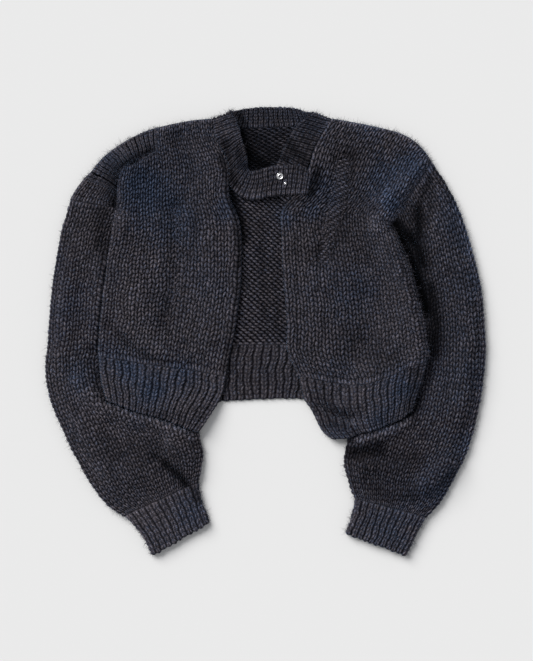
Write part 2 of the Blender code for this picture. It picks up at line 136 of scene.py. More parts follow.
SIDE = {
    "right": [(-231, -36), (-231, -13), (-228, 22), (-224, 57), (-219, 97), (-213, 134),
              (-208, 172)],
    "left": [(224, -42), (227, -29), (224, -17), (220, 10), (214, 36), (203, 84),
             (189, 120), (178, 148)],
}
ARMHOLE = {
    "right": [(-208, 172), (-272, 183)],
    "left": [(178, 148), (231, 237)],
}
SHOULDER = {
    "right": [(-272, 183), (-265, 196), (-253, 212), (-241, 224), (-231, 237), (-215, 251),
              (-194, 265), (-165, 279), (-135, 287), (-104, 293), (-74, 296)],
    "left": [(231, 237), (221, 251), (207, 265), (191, 274), (176, 279), (146, 286),
             (110, 293), (92, 296)],
}
NECK = {
    "right": [(-74, 296), (-74, 286), (-72.5, 276), (-64, 258), (-55, 242), (-51, 225),
              (-52, 206)],
    "left": [(92, 296), (79, 275), (68, 253), (61, 228), (50, 202), (27, 175)],
}
OPENING = {
    "right": [(-52, 206), (-50, 186), (-43, 169), (-37, 153), (-34, 127), (-34, 97),
              (-36, 57), (-41, 18), (-47, -17), (-54, -52), (-55, -64)],
    "left": [(27, 175), (22, 162), (23, 134), (24, 106), (26, 78), (29, 36), (31, 8),
             (30, -18), (34, -36), (47, -63)],
}
BACK_NECK = [(-74, 296), (-74, 285), (-55, 285), (-29, 285), (4, 286), (37, 288), (62, 288),
             (90, 286), (92, 296)]

# Outlines of the hem ribs: x, y

RIB_TOP = {
    "right": [(-231, -36), (-213, -39), (-159, -48), (-120, -53), (-76, -60), (-55, -64)],
    "left": [(47, -63), (76, -69), (97, -73), (135, -76), (173, -63), (204, -49), (224, -42)],
    "back": [(-231, -36), (-141, -25), (-57, -20), (48, -20), (146, -29), (224, -42)],
}
RIB_SIDE = {
    "right": [(-231, -36), (-228, -69), (-220, -97)],
    "left": [(224, -42), (216, -69), (202, -112)],
}
RIB_OPENING = {
    "right": [(-55, -64), (-61, -90), (-74, -112), (-93, -141)],
    "left": [(47, -63), (54, -94), (65, -111), (79, -139), (92, -151)],
}
RIB_FOOT = {
    "right": [(-220, -97), (-178, -113), (-153, -119), (-136, -125), (-114, -134),
              (-93, -141)],
    "left": [(92, -151), (114, -150), (128, -144), (150, -139), (170, -130), (188, -123),
             (202, -112)],
    "back": [(-220, -97), (-141, -98), (-65, -98), (-5, -95), (57, -94), (118, -96),
             (167, -103), (202, -112)],
}

# Sleeves and cuffs, from the armhole down: outer x, outer y, inner x, inner y

SLEEVE = {
    "right": [(-272, 183, -210.5, 172.4), (-284, 141, -218.6, 142), (-291, 106, -217.5, 111),
              (-297, 67, -200, 71), (-301, 27, -178, 32), (-304, -15, -162, -7),
              (-307, -57, -150, -43), (-300, -97, -133, -76), (-284, -136, -115, -104),
              (-266, -174, -99, -132), (-244, -213, -90, -164), (-219, -244, -91, -193),
              (-197, -258, -96, -212)],
    "left": [(231, 237, 179.4, 150.3), (253, 203, 192, 127), (273, 161, 202.5, 100),
             (288, 113, 206, 70), (300, 64, 205, 36), (305, 15, 198, 1),
             (307, -34, 185, -31), (302, -80, 164, -62), (294, -125, 143, -91),
             (279, -174, 123, -132), (259, -213, 112, -178), (242, -241, 119, -214),
             (224, -260, 128, -235)],
}
CUFF = {
    "right": [(-197, -258, -96, -212), (-174, -283, -91, -239), (-165, -299, -85, -255),
              (-158, -314, -80, -269)],
    "left": [(224, -260, 128, -235), (210, -286, 122, -260), (203, -301, 118, -273),
             (196, -314, 114, -284)],
}

# Neckband from the end of the tab round the neck to the end that lies under the tab:
# seam edge x, y, free edge x, y, layers of cloth between it and the back

BAND = [
    (59, 192, 64, 221, 2.0), (46, 191, 50, 229, 2.0), (26, 190, 29, 231, 2.0),
    (6, 188, 8, 229, 2.0), (-13, 184, -8, 224, 1.7), (-31, 187, -19, 222, 1.2),
    (-43, 195, -24, 226, 1.0), (-51.4, 207, -25, 235, 1.0), (-50.3, 225, -28, 247, 1.0),
    (-54.3, 242, -31, 261, 1.0), (-63.3, 258, -35, 275, 1.0), (-71.0, 276, -39, 288, 1.0),
    (-72.5, 285, -41, 297, 0.95), (-74.5, 296, -49, 304.5, 0.6), (-64, 289, -44, 308.5, 0.2),
    (-53, 285, -37, 310, 0.05), (-29, 285, -26, 312, 0.0), (4, 286, 4, 314, 0.0),
    (37, 288, 34, 313, 0.0), (60, 288.5, 48, 310.5, 0.05), (74, 291, 56, 307.5, 0.2),
    (92, 297, 67, 305, 0.6), (87.6, 287, 55, 297, 0.95), (78.4, 275, 43, 286, 1.0),
    (67.0, 253, 30, 264, 1.0), (59.6, 228, 22, 246, 1.0), (48.6, 202.5, 13, 226, 1.0),
    (29, 179, 3, 204, 1.0),
]

# The right front's pleat below the shoulder: its side and the edge of its upper fold, where
# the cloth under it comes out, and the foot of the gathered fan

PLEAT_SIDE = [(-208, 172), (-207, 190), (-206, 206), (-202, 224), (-198, 263)]
PLEAT_EDGE = [(-215, 221), (-203, 224), (-194, 229), (-184, 232), (-175, 237), (-166, 241),
              (-152, 248)]
UNDER_PLEAT = [(-199, 170.5), (-197, 190), (-193, 207), (-184, 220), (-168, 229), (-150, 236)]
FAN_FOOT = [(-197.5, 184), (-212, 194), (-232, 205), (-253, 212)]
MAIN_FROM, FAN_TO = -194, -150      # where on the shoulder, in x, they begin and end
PLEAT_STEPS = 321       # places along a wale that are tried for the pleat's edge
SINK = 7.0              # how far the cloth under the pleat sinks in
FAN = (18, 8)           # wales and courses of the fan
TOP = (9, 5)            # wales and courses of the cloth between the fan and the sleeve

# Folds and creases of each piece: path of x, y, half width, height (minus is a crease)

FOLDS = {
    "right_front": [
        ([(-166, 241), (-186, 229), (-196, 215), (-199, 190), (-203, 160)], 22, 6.0),
        ([(-240, 216), (-222, 205), (-211, 190)], 8, -2.2),
        ([(-127, 175), (-124, 120), (-128, 60), (-140, 10)], 13, -3.5),
        ([(-84, 200), (-76, 140), (-70, 60), (-74, 0)], 20, 4.0),
        ([(-180, 150), (-186, 90), (-184, 40)], 20, 2.5),
        ([(-222, 16), (-196, -12), (-172, -34), (-140, -50)], 7, -2.0),
        ([(-200, 8), (-168, -20), (-130, -36)], 10, 2.5),
        ([(-58, 200), (-48, 168), (-42, 120), (-42, 60), (-50, -10)], 9, 3.5),
        ([(-120, 275), (-110, 240), (-104, 215)], 14, -2.5),
        ([(-170, -70), (-140, -100), (-110, -125)], 16, 3.0),
    ],
    "left_front": [
        ([(244, 236), (208, 216), (182, 196), (166, 174), (160, 148)], 16, 8.0),
        ([(206, 181), (190, 160), (178, 142)], 7, -1.6),
        ([(70, -128), (92, -126), (118, -136)], 7, 3.0),
        ([(108, 235), (100, 190), (88, 140), (80, 100)], 18, -4.5),
        ([(66, 238), (52, 200), (40, 165)], 12, 3.0),
        ([(130, 190), (128, 150), (140, 90)], 16, -2.5),
        ([(176, 128), (192, 84), (206, 40), (214, 0), (212, -40)], 13, 5.0),
        ([(60, 120), (66, 60), (70, 0)], 16, 2.0),
        ([(150, 60), (140, 0), (120, -40)], 20, -2.5),
        ([(78, -104), (100, -116), (128, -120)], 9, -3.5),
        ([(180, -60), (170, -90), (160, -120)], 14, 2.5),
    ],
    "right_sleeve": [
        ([(-150, -178), (-134, -190), (-118, -206), (-102, -226)], 10, -4.0),
        ([(-128, -150), (-108, -172), (-104, -195)], 12, 5.0),
        ([(-186, -196), (-158, -214), (-138, -236)], 14, 4.0),
        ([(-262, -72), (-234, -98), (-206, -113), (-180, -122), (-150, -130), (-118, -142),
          (-100, -150)], 9, 6.0),
        ([(-214, -130), (-180, -150), (-150, -160)], 13, -3.5),
        ([(-240, 165), (-232, 140), (-228, 110)], 12, -2.0),
        ([(-242, -30), (-236, -60), (-228, -86)], 10, -2.5),
        ([(-280, 90), (-284, 30), (-286, -30)], 14, 2.5),
        ([(-222, 104), (-228, 60), (-233, 16)], 14, 3.2),
        ([(-255, -130), (-230, -180), (-206, -222)], 13, 2.5),
    ],
    "left_sleeve": [
        ([(232, 222), (227, 195), (215, 160), (210, 125)], 11, -4.5),
        ([(124, -166), (148, -176), (180, -180)], 12, -3.5),
        ([(118, -160), (150, -150), (172, -141), (190, -133), (208, -121)], 9, 6.0),
        ([(140, -186), (160, -190), (186, -190)], 10, 3.0),
        ([(146, -204), (172, -214), (204, -216)], 9, -5.5),
        ([(262, -180), (219, -219), (187, -230)], 12, 5.0),
        ([(282, 90), (292, 30), (290, -40), (272, -110)], 16, 3.5),
        ([(240, 60), (250, 0), (248, -60)], 18, -2.5),
    ],
}

# Painted shade and painted highlight in the wool's colour: darker where it lies deep between
# layers and in creases, lighter on raised folds: path of x, y, half width, strength (minus is
# lighter)

PAINTED_SHADE_AND_HIGHLIGHT = {
    "back": [
        ([(-36, 292), (-32, 264), (-14, 240), (0, 232)], 19, 0.95),
        ([(-30, 276), (-8, 262)], 24, 0.75),
        ([(4, 270), (36, 264)], 34, 0.5),
        ([(6, 250), (22, 240)], 20, 0.75),
        ([(-50, 212), (-43, 180), (-35, 150), (-32, 130)], 9, 0.85),
        ([(-30, 120), (-29, 95), (-30, 50), (-36, 0), (-44, -50)], 5, -0.4),
        ([(46, 184), (30, 184)], 7, 0.4),
        ([(16, 186), (-6, 183), (-24, 186)], 6, -0.3),
        ([(16, 100), (14, 40), (20, -10)], 8, 0.3),
        ([(-8, 150), (-4, 80), (0, 0)], 8, 0.3),
    ],
    "neckband": [
        ([(-58, 262), (-54, 234), (-46, 208)], 10, 0.7),
        ([(-40, 298), (0, 300), (45, 298)], 15, 0.3),
        ([(-37, 302), (-30, 290)], 8, 0.8),
        ([(30, 264), (44, 248), (64, 230)], 12, 0.75),
        ([(60, 292), (60, 268), (50, 236)], 22, 0.42),
        ([(72, 250), (66, 234)], 9, 0.8),
        ([(18, 246), (30, 240)], 7, 0.8),
        ([(-39, 254), (-35, 238), (-29, 230)], 8, 0.6),
        ([(-21, 230), (-8, 227)], 5, 0.75),
    ],
    "back_hem": [
        ([(-47, -50), (-55, -75), (-65, -100)], 6, 0.4),
        ([(-20, -60), (40, -60)], 50, 0.22),
    ],
    "pleat": [
        ([(-209, 172), (-211, 190), (-213, 208), (-206, 226)], 15, 0.75),
        ([(-206, 227), (-190, 237), (-176, 244), (-160, 251)], 10, 0.8),
        ([(-262, 200), (-231, 237), (-200, 262)], 8, -0.25),
    ],
    "right_front": [
        ([(-127, 175), (-124, 120), (-128, 60), (-138, 10)], 17, 0.25),
        ([(-62, 244), (-55, 214), (-51, 190), (-45, 170), (-39, 150), (-37, 120), (-38, 90)],
         6, 0.65),
        ([(-38, 90), (-41, 40), (-49, 0), (-58, -60)], 5, 0.4),
        ([(-98, 215), (-100, 170), (-108, 110)], 15, 0.2),
        ([(-224, 14), (-198, -12), (-172, -34), (-140, -50)], 6, 0.25),
        ([(-130, 272), (-112, 240), (-104, 215)], 20, 0.22),
        ([(-170, 140), (-178, 60), (-186, 0)], 24, -0.14),
        ([(-200, 262), (-165, 279), (-104, 293)], 8, -0.35),
    ],
    "left_front": [
        ([(64, 194), (70, 208), (72, 222)], 9, 0.75),
        ([(54, 190), (40, 185), (26, 178)], 9, 0.4),
        ([(114, 240), (108, 200), (102, 150), (84, 110)], 20, 0.62),
        ([(134, 190), (132, 150), (140, 100)], 14, 0.25),
        ([(128, 262), (152, 246)], 16, 0.22),
        ([(240, 232), (214, 212), (188, 190), (168, 162), (158, 138)], 17, -0.38),
        ([(180, 148), (187, 130), (194, 110)], 7, 0.7),
        ([(190, 118), (204, 82), (214, 44)], 4, 0.55),
        ([(166, 158), (172, 142), (182, 112), (195, 78), (205, 42)], 1.7, 0.5),
        ([(158, 150), (164, 132), (174, 104), (186, 72)], 1.7, 0.35),
        ([(43, 120), (43, 40), (45, -30)], 2.2, 0.4),
        ([(130, -16), (160, -34)], 30, 0.4),
        ([(40, 116), (76, 108), (104, 100)], 18, 0.2),
        ([(110, 293), (146, 286), (191, 274), (231, 237)], 9, -0.35),
        ([(130, 150), (140, 60), (110, -40)], 70, 0.14),
    ],
    "left_front_hem": [
        ([(90, -106), (100, -116), (112, -118)], 10, 0.6),
        ([(84, -120), (96, -129), (108, -131)], 8, 0.55),
        ([(120, -124), (138, -122)], 8, -0.25),
        ([(208, -58), (206, -84), (200, -106)], 9, 0.5),
        ([(80, -90), (120, -90)], 30, 0.15),
    ],
    "right_front_hem": [([(-190, -80), (-130, -90), (-90, -100)], 60, -0.08)],
    "right_sleeve": [
        ([(-160, -172), (-142, -184), (-130, -194)], 8, 0.55),
        ([(-142, -184), (-118, -206), (-98, -236)], 8, 0.9),
        ([(-230, 168), (-228, 140), (-226, 110)], 16, 0.5),
        ([(-262, 152), (-275, 120), (-286, 80)], 14, 0.25),
        ([(-240, -28), (-235, -60), (-226, -90)], 10, 0.4),
        ([(-220, -160), (-190, -180), (-150, -180)], 18, 0.3),
        ([(-262, -84), (-236, -105), (-208, -119), (-180, -127), (-150, -134), (-112, -142)],
         14, -0.32),
        ([(-190, -160), (-156, -164), (-124, -174)], 12, 0.35),
        ([(-270, 60), (-285, -60), (-230, -160)], 70, 0.05),
    ],
    "right_cuff": [
        ([(-104, -218), (-94, -236)], 7, 0.5),
        ([(-150, -250), (-120, -300)], 90, -0.15),
    ],
    "left_sleeve": [
        ([(182, 150), (194, 122), (206, 92), (217, 60), (226, 30)], 17, 1.0),
        ([(188, 142), (200, 132), (212, 118), (218, 94)], 15, 0.97),
        ([(213, 170), (215, 150), (213, 130)], 12, 0.9),
        ([(234, 226), (222, 214), (208, 200)], 7, -0.35),
        ([(240, 228), (252, 208), (264, 184)], 9, 0.5),
        ([(230, 200), (232, 178), (226, 160)], 7, 0.5),
        ([(229, 60), (237, 14), (237, -30)], 14, 0.9),
        ([(232, -46), (222, -84)], 11, 0.5),
        ([(214, -96), (206, -114)], 9, 0.8),
        ([(231, 214), (223, 196), (213, 172), (201, 150)], 5, 0.7),
        ([(120, -153), (150, -144), (174, -136), (192, -128), (208, -118)], 9, -0.2),
        ([(276, 150), (288, 113), (305, 15), (307, -34), (294, -125), (270, -190)], 10, -0.3),
        ([(112, -166), (134, -172), (160, -164)], 15, 0.8),
        ([(130, -180), (160, -184), (206, -178)], 22, 0.5),
        ([(165, -154), (200, -152), (222, -142)], 10, 0.35),
        ([(140, -208), (170, -224), (204, -226)], 16, 0.5),
        ([(118, -190), (124, -214)], 14, 0.3),
        ([(270, 110), (284, 0), (262, -120), (200, -200)], 60, 0.18),
    ],
}

# Painted bluish sheen: places where the yarn is made bluer: x, y, radius, strength

PAINTED_BLUE_SHEEN = [
    (-180, 208, 30, 0.8), (-154, 178, 46, 0.75), (-120, 258, 44, 0.3), (-122, 140, 34, 0.4),
    (-100, 60, 60, 0.2), (-190, -50, 24, 0.8), (-160, -84, 27, 0.9), (-113, -58, 23, 0.8),
    (-220, -30, 18, 0.5), (80, 198, 26, 0.8), (62, 166, 16, 0.6), (160, 210, 30, 0.7),
    (176, 180, 22, 0.7), (204, 232, 28, 0.9), (150, 120, 45, 0.15), (110, 40, 50, 0.4),
    (280, 60, 60, 0.3), (236, -222, 38, 0.8), (272, -160, 28, 0.6), (306, 80, 22, 0.4),
    (292, 130, 28, 0.8), (112, -60, 30, 0.3), (186, -78, 26, 0.8), (104, -138, 20, 0.5),
    (160, -122, 26, 0.8), (-280, 40, 50, 0.3), (270, -60, 60, 0.5), (165, -275, 42, 0.6),
    (150, 292, 30, 0.4), (60, 296, 24, 0.5), (-262, -60, 26, 0.7), (-106, -255, 22, 0.7),
    (24, 160, 16, 0.8), (-55, 170, 20, 0.7), (-28, 230, 12, 0.7), (266, 172, 30, 0.6),
    (0, 300, 60, 0.2), (-232, 240, 20, 0.5),
]

# Press fastener: x and y, outer diameter, hole diameter, thickness; the height of its foot

SOCKET = ((20.0, 216.0), 9.6, 3.2, 1.4)
STUD = ((27.5, 206.0), 5.0, 0.0, 1.6)
FASTENER_FOOT = 2 * LAYER + CLOTH + 1.0
DISC_SIDES = 48

# Camera, straight above the garment

CAMERA_X, CAMERA_Y, CAMERA_UP = 1.4, 0.7, 2500.0
LENS = 96.9
SENSOR = 36.0


# Curves

def smooth(points, steps=10):
    """A dense curve through the points, Catmull-Rom, its ends included."""
    p = np.asarray(points, float)
    if len(p) == 2:
        t = np.linspace(0, 1, steps + 1)[:, None]
        return p[0] * (1 - t) + p[1] * t
    ext = np.vstack([2 * p[0] - p[1], p, 2 * p[-1] - p[-2]])
    out = []
    t = np.arange(steps)[:, None] / steps
    for i in range(len(p) - 1):
        a, b, c, d = ext[i:i + 4]
        out.append(0.5 * (2 * b + (c - a) * t + (2 * a - 5 * b + 4 * c - d) * t ** 2
                          + (3 * b - a - 3 * c + d) * t ** 3))
    return np.vstack(out + [p[-1:]])


def joined(*curves):
    """Curves end to end as one path, each smooth in itself."""
    parts = [smooth(c) for c in curves]
    return np.vstack([parts[0]] + [c[1:] for c in parts[1:]])


def path_lengths(path):
    """Length along a path at each of its points."""
    return np.concatenate([[0], np.cumsum(np.linalg.norm(np.diff(path, axis=0), axis=1))])


def along(path, t):
    """Points at fractions t of a path's length; a pair of paths meets at t = CORNER."""
    if isinstance(path, tuple):
        low = along(path[0], np.clip(t / CORNER, 0, 1))
        high = along(path[1], np.clip((t - CORNER) / (1 - CORNER), 0, 1))
        return np.where((t < CORNER)[..., None], low, high)
    s = path_lengths(path[:, :2])
    return np.stack([np.interp(t, s / s[-1], path[:, k]) for k in range(path.shape[1])], -1)


def from_path(x, y, path):
    """Distance to a path, the side of it (plus is left of its run) and the length along.

    Off a corner, two pieces of the path are equally near. The one that is seen more squarely
    says which side it is.
    """
    best = np.full(np.shape(x), 1e9)
    square = np.zeros(np.shape(x))
    run = np.zeros(np.shape(x))
    start = 0.0
    for (ax, ay), (bx, by) in zip(path[:-1], path[1:]):
        dx, dy = bx - ax, by - ay
        size = math.hypot(dx, dy)
        if size < 1e-9:
            continue
        t = np.clip(((x - ax) * dx + (y - ay) * dy) / size ** 2, 0, 1)
        d = np.hypot(x - ax - t * dx, y - ay - t * dy)
        off = (dx * (y - ay) - dy * (x - ax)) / size
        near = (d < best - 1e-6) | ((d < best + 1e-6) & (np.abs(off) > np.abs(square)))
        best = np.where(near, d, best)
        square = np.where(near, off, square)
        run = np.where(near, start + t * size, run)
        start += size
    return best, np.sign(square), run


def distance(x, y, path):
    """Distance to a path."""
    return from_path(x, y, path)[0]


def ease(t):
    """A soft step from 0 to 1."""
    t = np.clip(t, 0, 1)
    return t * t * (3 - 2 * t)


def chance(i, j, seed):
    """A steady random number from 0 to 1 for each pair of whole numbers."""
    n = (np.asarray(i, np.int64) * 374761393 + np.asarray(j, np.int64) * 668265263
         + seed * 2147483647) & 0xFFFFFFFF
    n = ((n ^ (n >> 13)) * 1274126177) & 0xFFFFFFFF
    n = ((n ^ (n >> 16)) * 2246822519) & 0xFFFFFFFF
    return ((n ^ (n >> 15)) & 0xFFFFFF) / float(0x1000000)


def wander(x, y, size, seed):
    """Smooth noise from -1 to 1 whose bumps are about that size."""
    x, y = np.asarray(x) / size, np.asarray(y) / size
    i, j = np.floor(x).astype(np.int64), np.floor(y).astype(np.int64)
    u, v = ease(x - i), ease(y - j)
    low = chance(i, j, seed) * (1 - u) + chance(i + 1, j, seed) * u
    high = chance(i, j + 1, seed) * (1 - u) + chance(i + 1, j + 1, seed) * u
    return 2 * (low * (1 - v) + high * v) - 1


# Heights of the cloth's middle

HIDDEN_EDGE = {s: smooth([(r[2], r[3]) for r in SLEEVE[s]]) for s in SLEEVE}
BODY_EDGE = {s: joined(RIB_SIDE[s][::-1], SIDE[s]) for s in SIDE}
RIM_FOOT = {"right": RIB_FOOT["right"], "left": RIB_FOOT["left"][::-1]}
BODY_RIM = {s: joined(SIDE[s][::-1], RIB_SIDE[s], RIM_FOOT[s], RIB_OPENING[s][::-1])
            for s in SIDE}
OUTER_EDGE = {s: joined(RIB_SIDE[s][::-1], SIDE[s], ARMHOLE[s], SHOULDER[s]) for s in SIDE}
BACK_FOOT = smooth(RIB_FOOT["back"])
INWARD = {"right": -1, "left": 1}


def lift(x, y):
    """How far the sleeves under the body raise the back at a place."""
    top = np.zeros(np.shape(x))
    for s, edge in HIDDEN_EDGE.items():
        d, side, run = from_path(x, y, edge)
        past = d * side * INWARD[s]
        ramp = ease((past + RAMP_OUT) / (RAMP_OUT + RAMP_IN))
        top = np.maximum(top, LIFT * ramp * ease(run / UNDERARM_RUN))
    return top


def folds(name, x, y):
    """Height of a piece's own folds and creases at a place."""
    total = np.zeros(np.shape(x))
    for points, width, height in FOLDS.get(name, []):
        d = distance(x, y, smooth(points, 4))
        total += FOLD_GAIN * height * np.exp(-(d / width) ** 2)
    return total


def pressed(z):
    """Height of the cloth's middle once the garment's own weight has flattened it."""
    over = np.maximum(z - TALL, 0)
    return np.minimum(z, TALL) + TALL_ROOM * np.tanh(over / TALL_ROOM)


def rolled(d):
    """Drop of the cloth's middle at a distance in from a folded edge."""
    d = np.clip(d, 0, ROLL)
    return ROLL - np.sqrt(np.maximum(ROLL ** 2 - (ROLL - d) ** 2, 0))


def unrolled(arc):
    """Distance in from a folded edge, seen from above, for a length of cloth from it."""
    turn = np.clip(arc / ROLL, 0, math.pi / 2)
    return ROLL * (1 - np.cos(turn)) + np.maximum(arc - ROLL * math.pi / 2, 0)


def front_rise(side, x, y):
    """Middle of a front panel above the middle of the back."""
    edge = distance(x, y, OUTER_EDGE[side])
    rise = LAYER + (FULL - LAYER) * (1 - ease(edge / EDGE_ROLL))
    rise = rise + folds(side + "_front", x, y) * ease(edge / FOLD_IN)
    part_up = lift(x, y) / LIFT
    rise = rise + RAMP_CLEAR * ease(part_up * 8) * ease((1 - part_up) * 8)
    foot, over, _ = from_path(x, y, BACK_FOOT)
    return rise - LAYER * DROOP_SHARE * ease((-foot * over - DROOP_START) / DROOP)


def edge_roll(x, y, side):
    """Drop at the side seam and the shoulder; none where a sleeve is sewn on."""
    ax, ay = ARMHOLE[side][0]
    fade = ease(np.hypot(x - ax, y - ay) / SEAM_FADE)
    seam = rolled(distance(x, y, BODY_EDGE[side])) * fade
    return np.maximum(seam, rolled(distance(x, y, smooth(SHOULDER[side]))))


# Surfaces: s counts wales and t counts courses, the result is x, y, z of the cloth's middle

def patch(left, right, foot, head):
    """A flat patch filled in between four edge paths."""
    def place(u, v):
        u_, v_ = u[..., None], v[..., None]
        sides = (1 - u_) * along(left, v) + u_ * along(right, v)
        ends = (1 - v_) * along(foot, u) + v_ * along(head, u)
        corners = ((1 - u_) * ((1 - v_) * foot[0] + v_ * head[0])
                   + u_ * ((1 - v_) * foot[-1] + v_ * head[-1]))
        return sides + ends - corners
    return place


def fractions(count, size, near=False, far=False):
    """Turns stitch counts into fractions of a panel, with the cloth of rolled edges let out."""
    slack = ROLL * (math.pi / 2 - 1)
    whole = size + slack * near + slack * far

    def fraction(k):
        arc = np.asarray(k) / count * whole
        d = unrolled(arc) if near else arc
        if far:
            beyond = unrolled(whole - arc)
            d = np.where(arc > whole / 2, size - beyond, d)
        return d / size
    return fraction


def body_surface(name, place, wales, courses):
    """The surface of a body panel: place gives x, y for fractions across and up it."""
    is_front = not name.startswith("back")
    sides = (name.split("_")[0],) if is_front else ("right", "left")

    def surface(s, t):
        p = place(wales(s), courses(t))
        x, y = p[..., 0], p[..., 1]
        roll = np.zeros(np.shape(x))
        for side in sides:
            roll = np.maximum(roll, edge_roll(x, y, side))
        z = lift(x, y) + HALF
        z = z + front_rise(sides[0], x, y) - roll if is_front else z + roll
        return np.stack([x, y, pressed(z)], -1)
    return surface


def tucked(rows):
    """Sleeve rows whose inner edge reaches a little further in beside the underarm."""
    rows = np.asarray(rows, float)
    rows[1:4, 2] -= np.sign(rows[1:4, 2]) * np.array(TUCKS)
    return rows


def tube_surface(name, table, around, courses):
    """A flattened tube: s runs round it from the outer fold over the top, t down it.

    Wales run at their own width from the outer fold. Where the tube is narrower than they
    need, above its widest row, the last ones end at the inner fold.
    """
    rows = np.asarray(table, float)
    outer, inner = smooth(rows[:, :2]), smooth(rows[:, 2:])
    middle = path_lengths((outer + inner) / 2)
    index = np.arange(len(middle))
    side = name.split("_")[0]
    widths = np.linalg.norm(inner - outer, axis=1) + ROLL * (math.pi - 2)
    widest = int(np.argmax(widths))
    is_sleeve = name.endswith("sleeve")

    def surface(s, t):
        k = np.interp(np.clip(t / courses, 0, 1) * middle[-1], middle, index)
        a = np.stack([np.interp(k, index, outer[:, c]) for c in (0, 1)], -1)
        b = np.stack([np.interp(k, index, inner[:, c]) for c in (0, 1)], -1)
        width = np.linalg.norm(b - a, axis=-1)
        ray = (b - a) / width[..., None]
        round_it = width + ROLL * (math.pi - 2)
        over = s <= around
        count = np.where(over, s, 2 * around - s)
        natural = widths[widest] / around
        gauge = np.where(k < widest, natural, round_it / around) if is_sleeve \
            else round_it / around
        arc = np.clip(count * gauge, 0, round_it)
        bend = ROLL * math.pi / 2
        turn = np.clip(np.minimum(arc, round_it - arc) / ROLL, 0, math.pi / 2)
        near = ROLL * (1 - np.cos(turn))
        d = np.where(arc < bend, near, np.where(arc > round_it - bend, width - near,
                                                arc - bend + ROLL))
        x, y = a[..., 0] + ray[..., 0] * d, a[..., 1] + ray[..., 1] * d
        z = TUBE / 2 + np.where(over, 1, -1) * ROLL * np.sin(turn)
        if is_sleeve:
            # Flat under the body, at the folded edges and at both ends, fuller elsewhere
            rim, out, _ = from_path(x, y, BODY_RIM[side])
            clear = rim * out * INWARD[side]
            room = np.minimum(d, width - d)
            near_body = ease((clear - 1.5) / NEAR_BODY[side])
            loose = PUFF * near_body * ease((room - 1) / PUFF_IN)
            loose = loose + folds(name, x, y) * ease((clear - 1) / 7) * ease((room - 1) / 14)
            loose = loose * ease(t / courses * 7) * ease((courses - t) / 9)
            z = z + np.where(over, np.sin(turn) * loose, 0)
        return np.stack([x, y, pressed(z)], -1)

    def ended(s, t):
        """Whether a wale has already ended at the inner fold on that course."""
        k = np.interp(np.clip(t / courses, 0, 1) * middle[-1], middle, index)
        round_it = np.interp(k, index, widths)
        count = np.where(s <= around, s, 2 * around - s)
        return (k < widest) & (count * widths[widest] / around > round_it) & is_sleeve
    return surface, ended


def band_surface(table, ribs, rows_up):
    """The neckband: s counts its ribs from the tab on, t its courses from seam to free edge."""
    rows = smooth(table)
    middle = path_lengths((rows[:, 0:2] + rows[:, 2:4]) / 2)
    index = np.arange(len(middle))

    def surface(s, t):
        k = np.interp(s / ribs * middle[-1], middle, index)
        r = np.stack([np.interp(k, index, rows[:, c]) for c in range(5)], -1)
        u = (t / rows_up)[..., None]
        p = r[..., 0:2] * (1 - u) + r[..., 2:4] * u
        x, y = p[..., 0], p[..., 1]
        # It stands up between the tab and the back neck, more at its free edge
        stand = CURL * ease((y - 196) / 26) * ease((300 - y) / 30) * ease((20 - x) / 20)
        z = lift(x, y) + HALF + LAYER * r[..., 4] + stand * (0.35 + 0.65 * u[..., 0])
        return np.stack([x, y, pressed(z)], -1)
    return surface


# Stitches: columns and rows of points in one stitch, and the yarn's height there

def leg_height(out, b):
    """One leg of a V: out runs from the V's middle to its side, b from its foot to its top."""
    crest = 0.36 + 0.28 * b
    leg = np.sin(math.pi * np.clip(out, 0, 1) ** (math.log(0.5) / np.log(crest)))
    bead = np.sin(math.pi * np.clip(b, 0, 1) ** 0.8) ** 0.8
    return np.clip(leg, 0, 1) ** 0.9 * (0.15 + 0.85 * bead)


def knit_height(a, b):
    """The right side of stockinette: two legs that make a V."""
    return leg_height(np.abs(2 * a - 1), b)


def purl_height(a, b):
    """The wrong side of stockinette: short slanted bars, each row set between the last."""
    total = np.zeros(np.shape(a))
    for middle, up in ((0.5, 0.25), (0.0, 0.75), (1.0, 0.75), (0.5, 1.25), (0.0, -0.25),
                       (1.0, -0.25)):
        across = (a - middle) / 0.40
        height = (b - up + 0.26 * (a - middle)) / 0.24
        total = np.maximum(total, np.sqrt(np.clip(1 - across ** 2 - height ** 2, 0, 1)))
    return total


def rib_height(a, b):
    """One rib: a raised column of Vs beside a deep groove."""
    edge = np.minimum(a, 1 - a)
    wall = 0.38 + 0.62 * (1 - np.exp(-(edge / 0.13) ** 2))
    return wall * (0.25 + 0.65 * leg_height(np.abs(a - 0.5) / 0.43, b))


KNIT = {"columns": (0, .1, .25, .4, .5, .6, .75, .9), "rows": (0, .2, .5, .8),
        "height": knit_height, "deep": CREST, "slant": SLANT}
PURL = {"columns": (0, .125, .25, .375, .5, .625, .75, .875),
        "rows": (0, .125, .25, .375, .5, .625, .75, .875),
        "height": purl_height, "deep": CREST, "slant": 0.0}
RIBS = {"columns": (0, .07, .16, .28, .4, .5, .6, .72, .84, .93),
        "rows": (0, .25, .5, .75), "height": rib_height, "deep": CREST + RIB_DEEP,
        "slant": SLANT}
# The same ribs from behind, where a ridge is a groove
TURNED = dict(RIBS, height=lambda a, b: rib_height((a + 0.5) % 1.0, b))
PLAIN = {"columns": (0, .5), "rows": (0, .5), "height": knit_height, "deep": 0.5,
         "slant": 0.0}


def spread(count, inner):
    """Stitch counts from 0 to count with the inner fractions in every stitch."""
    return np.append((np.arange(count)[:, None] + np.asarray(inner)[None, :]).ravel(), count)


# Meshes

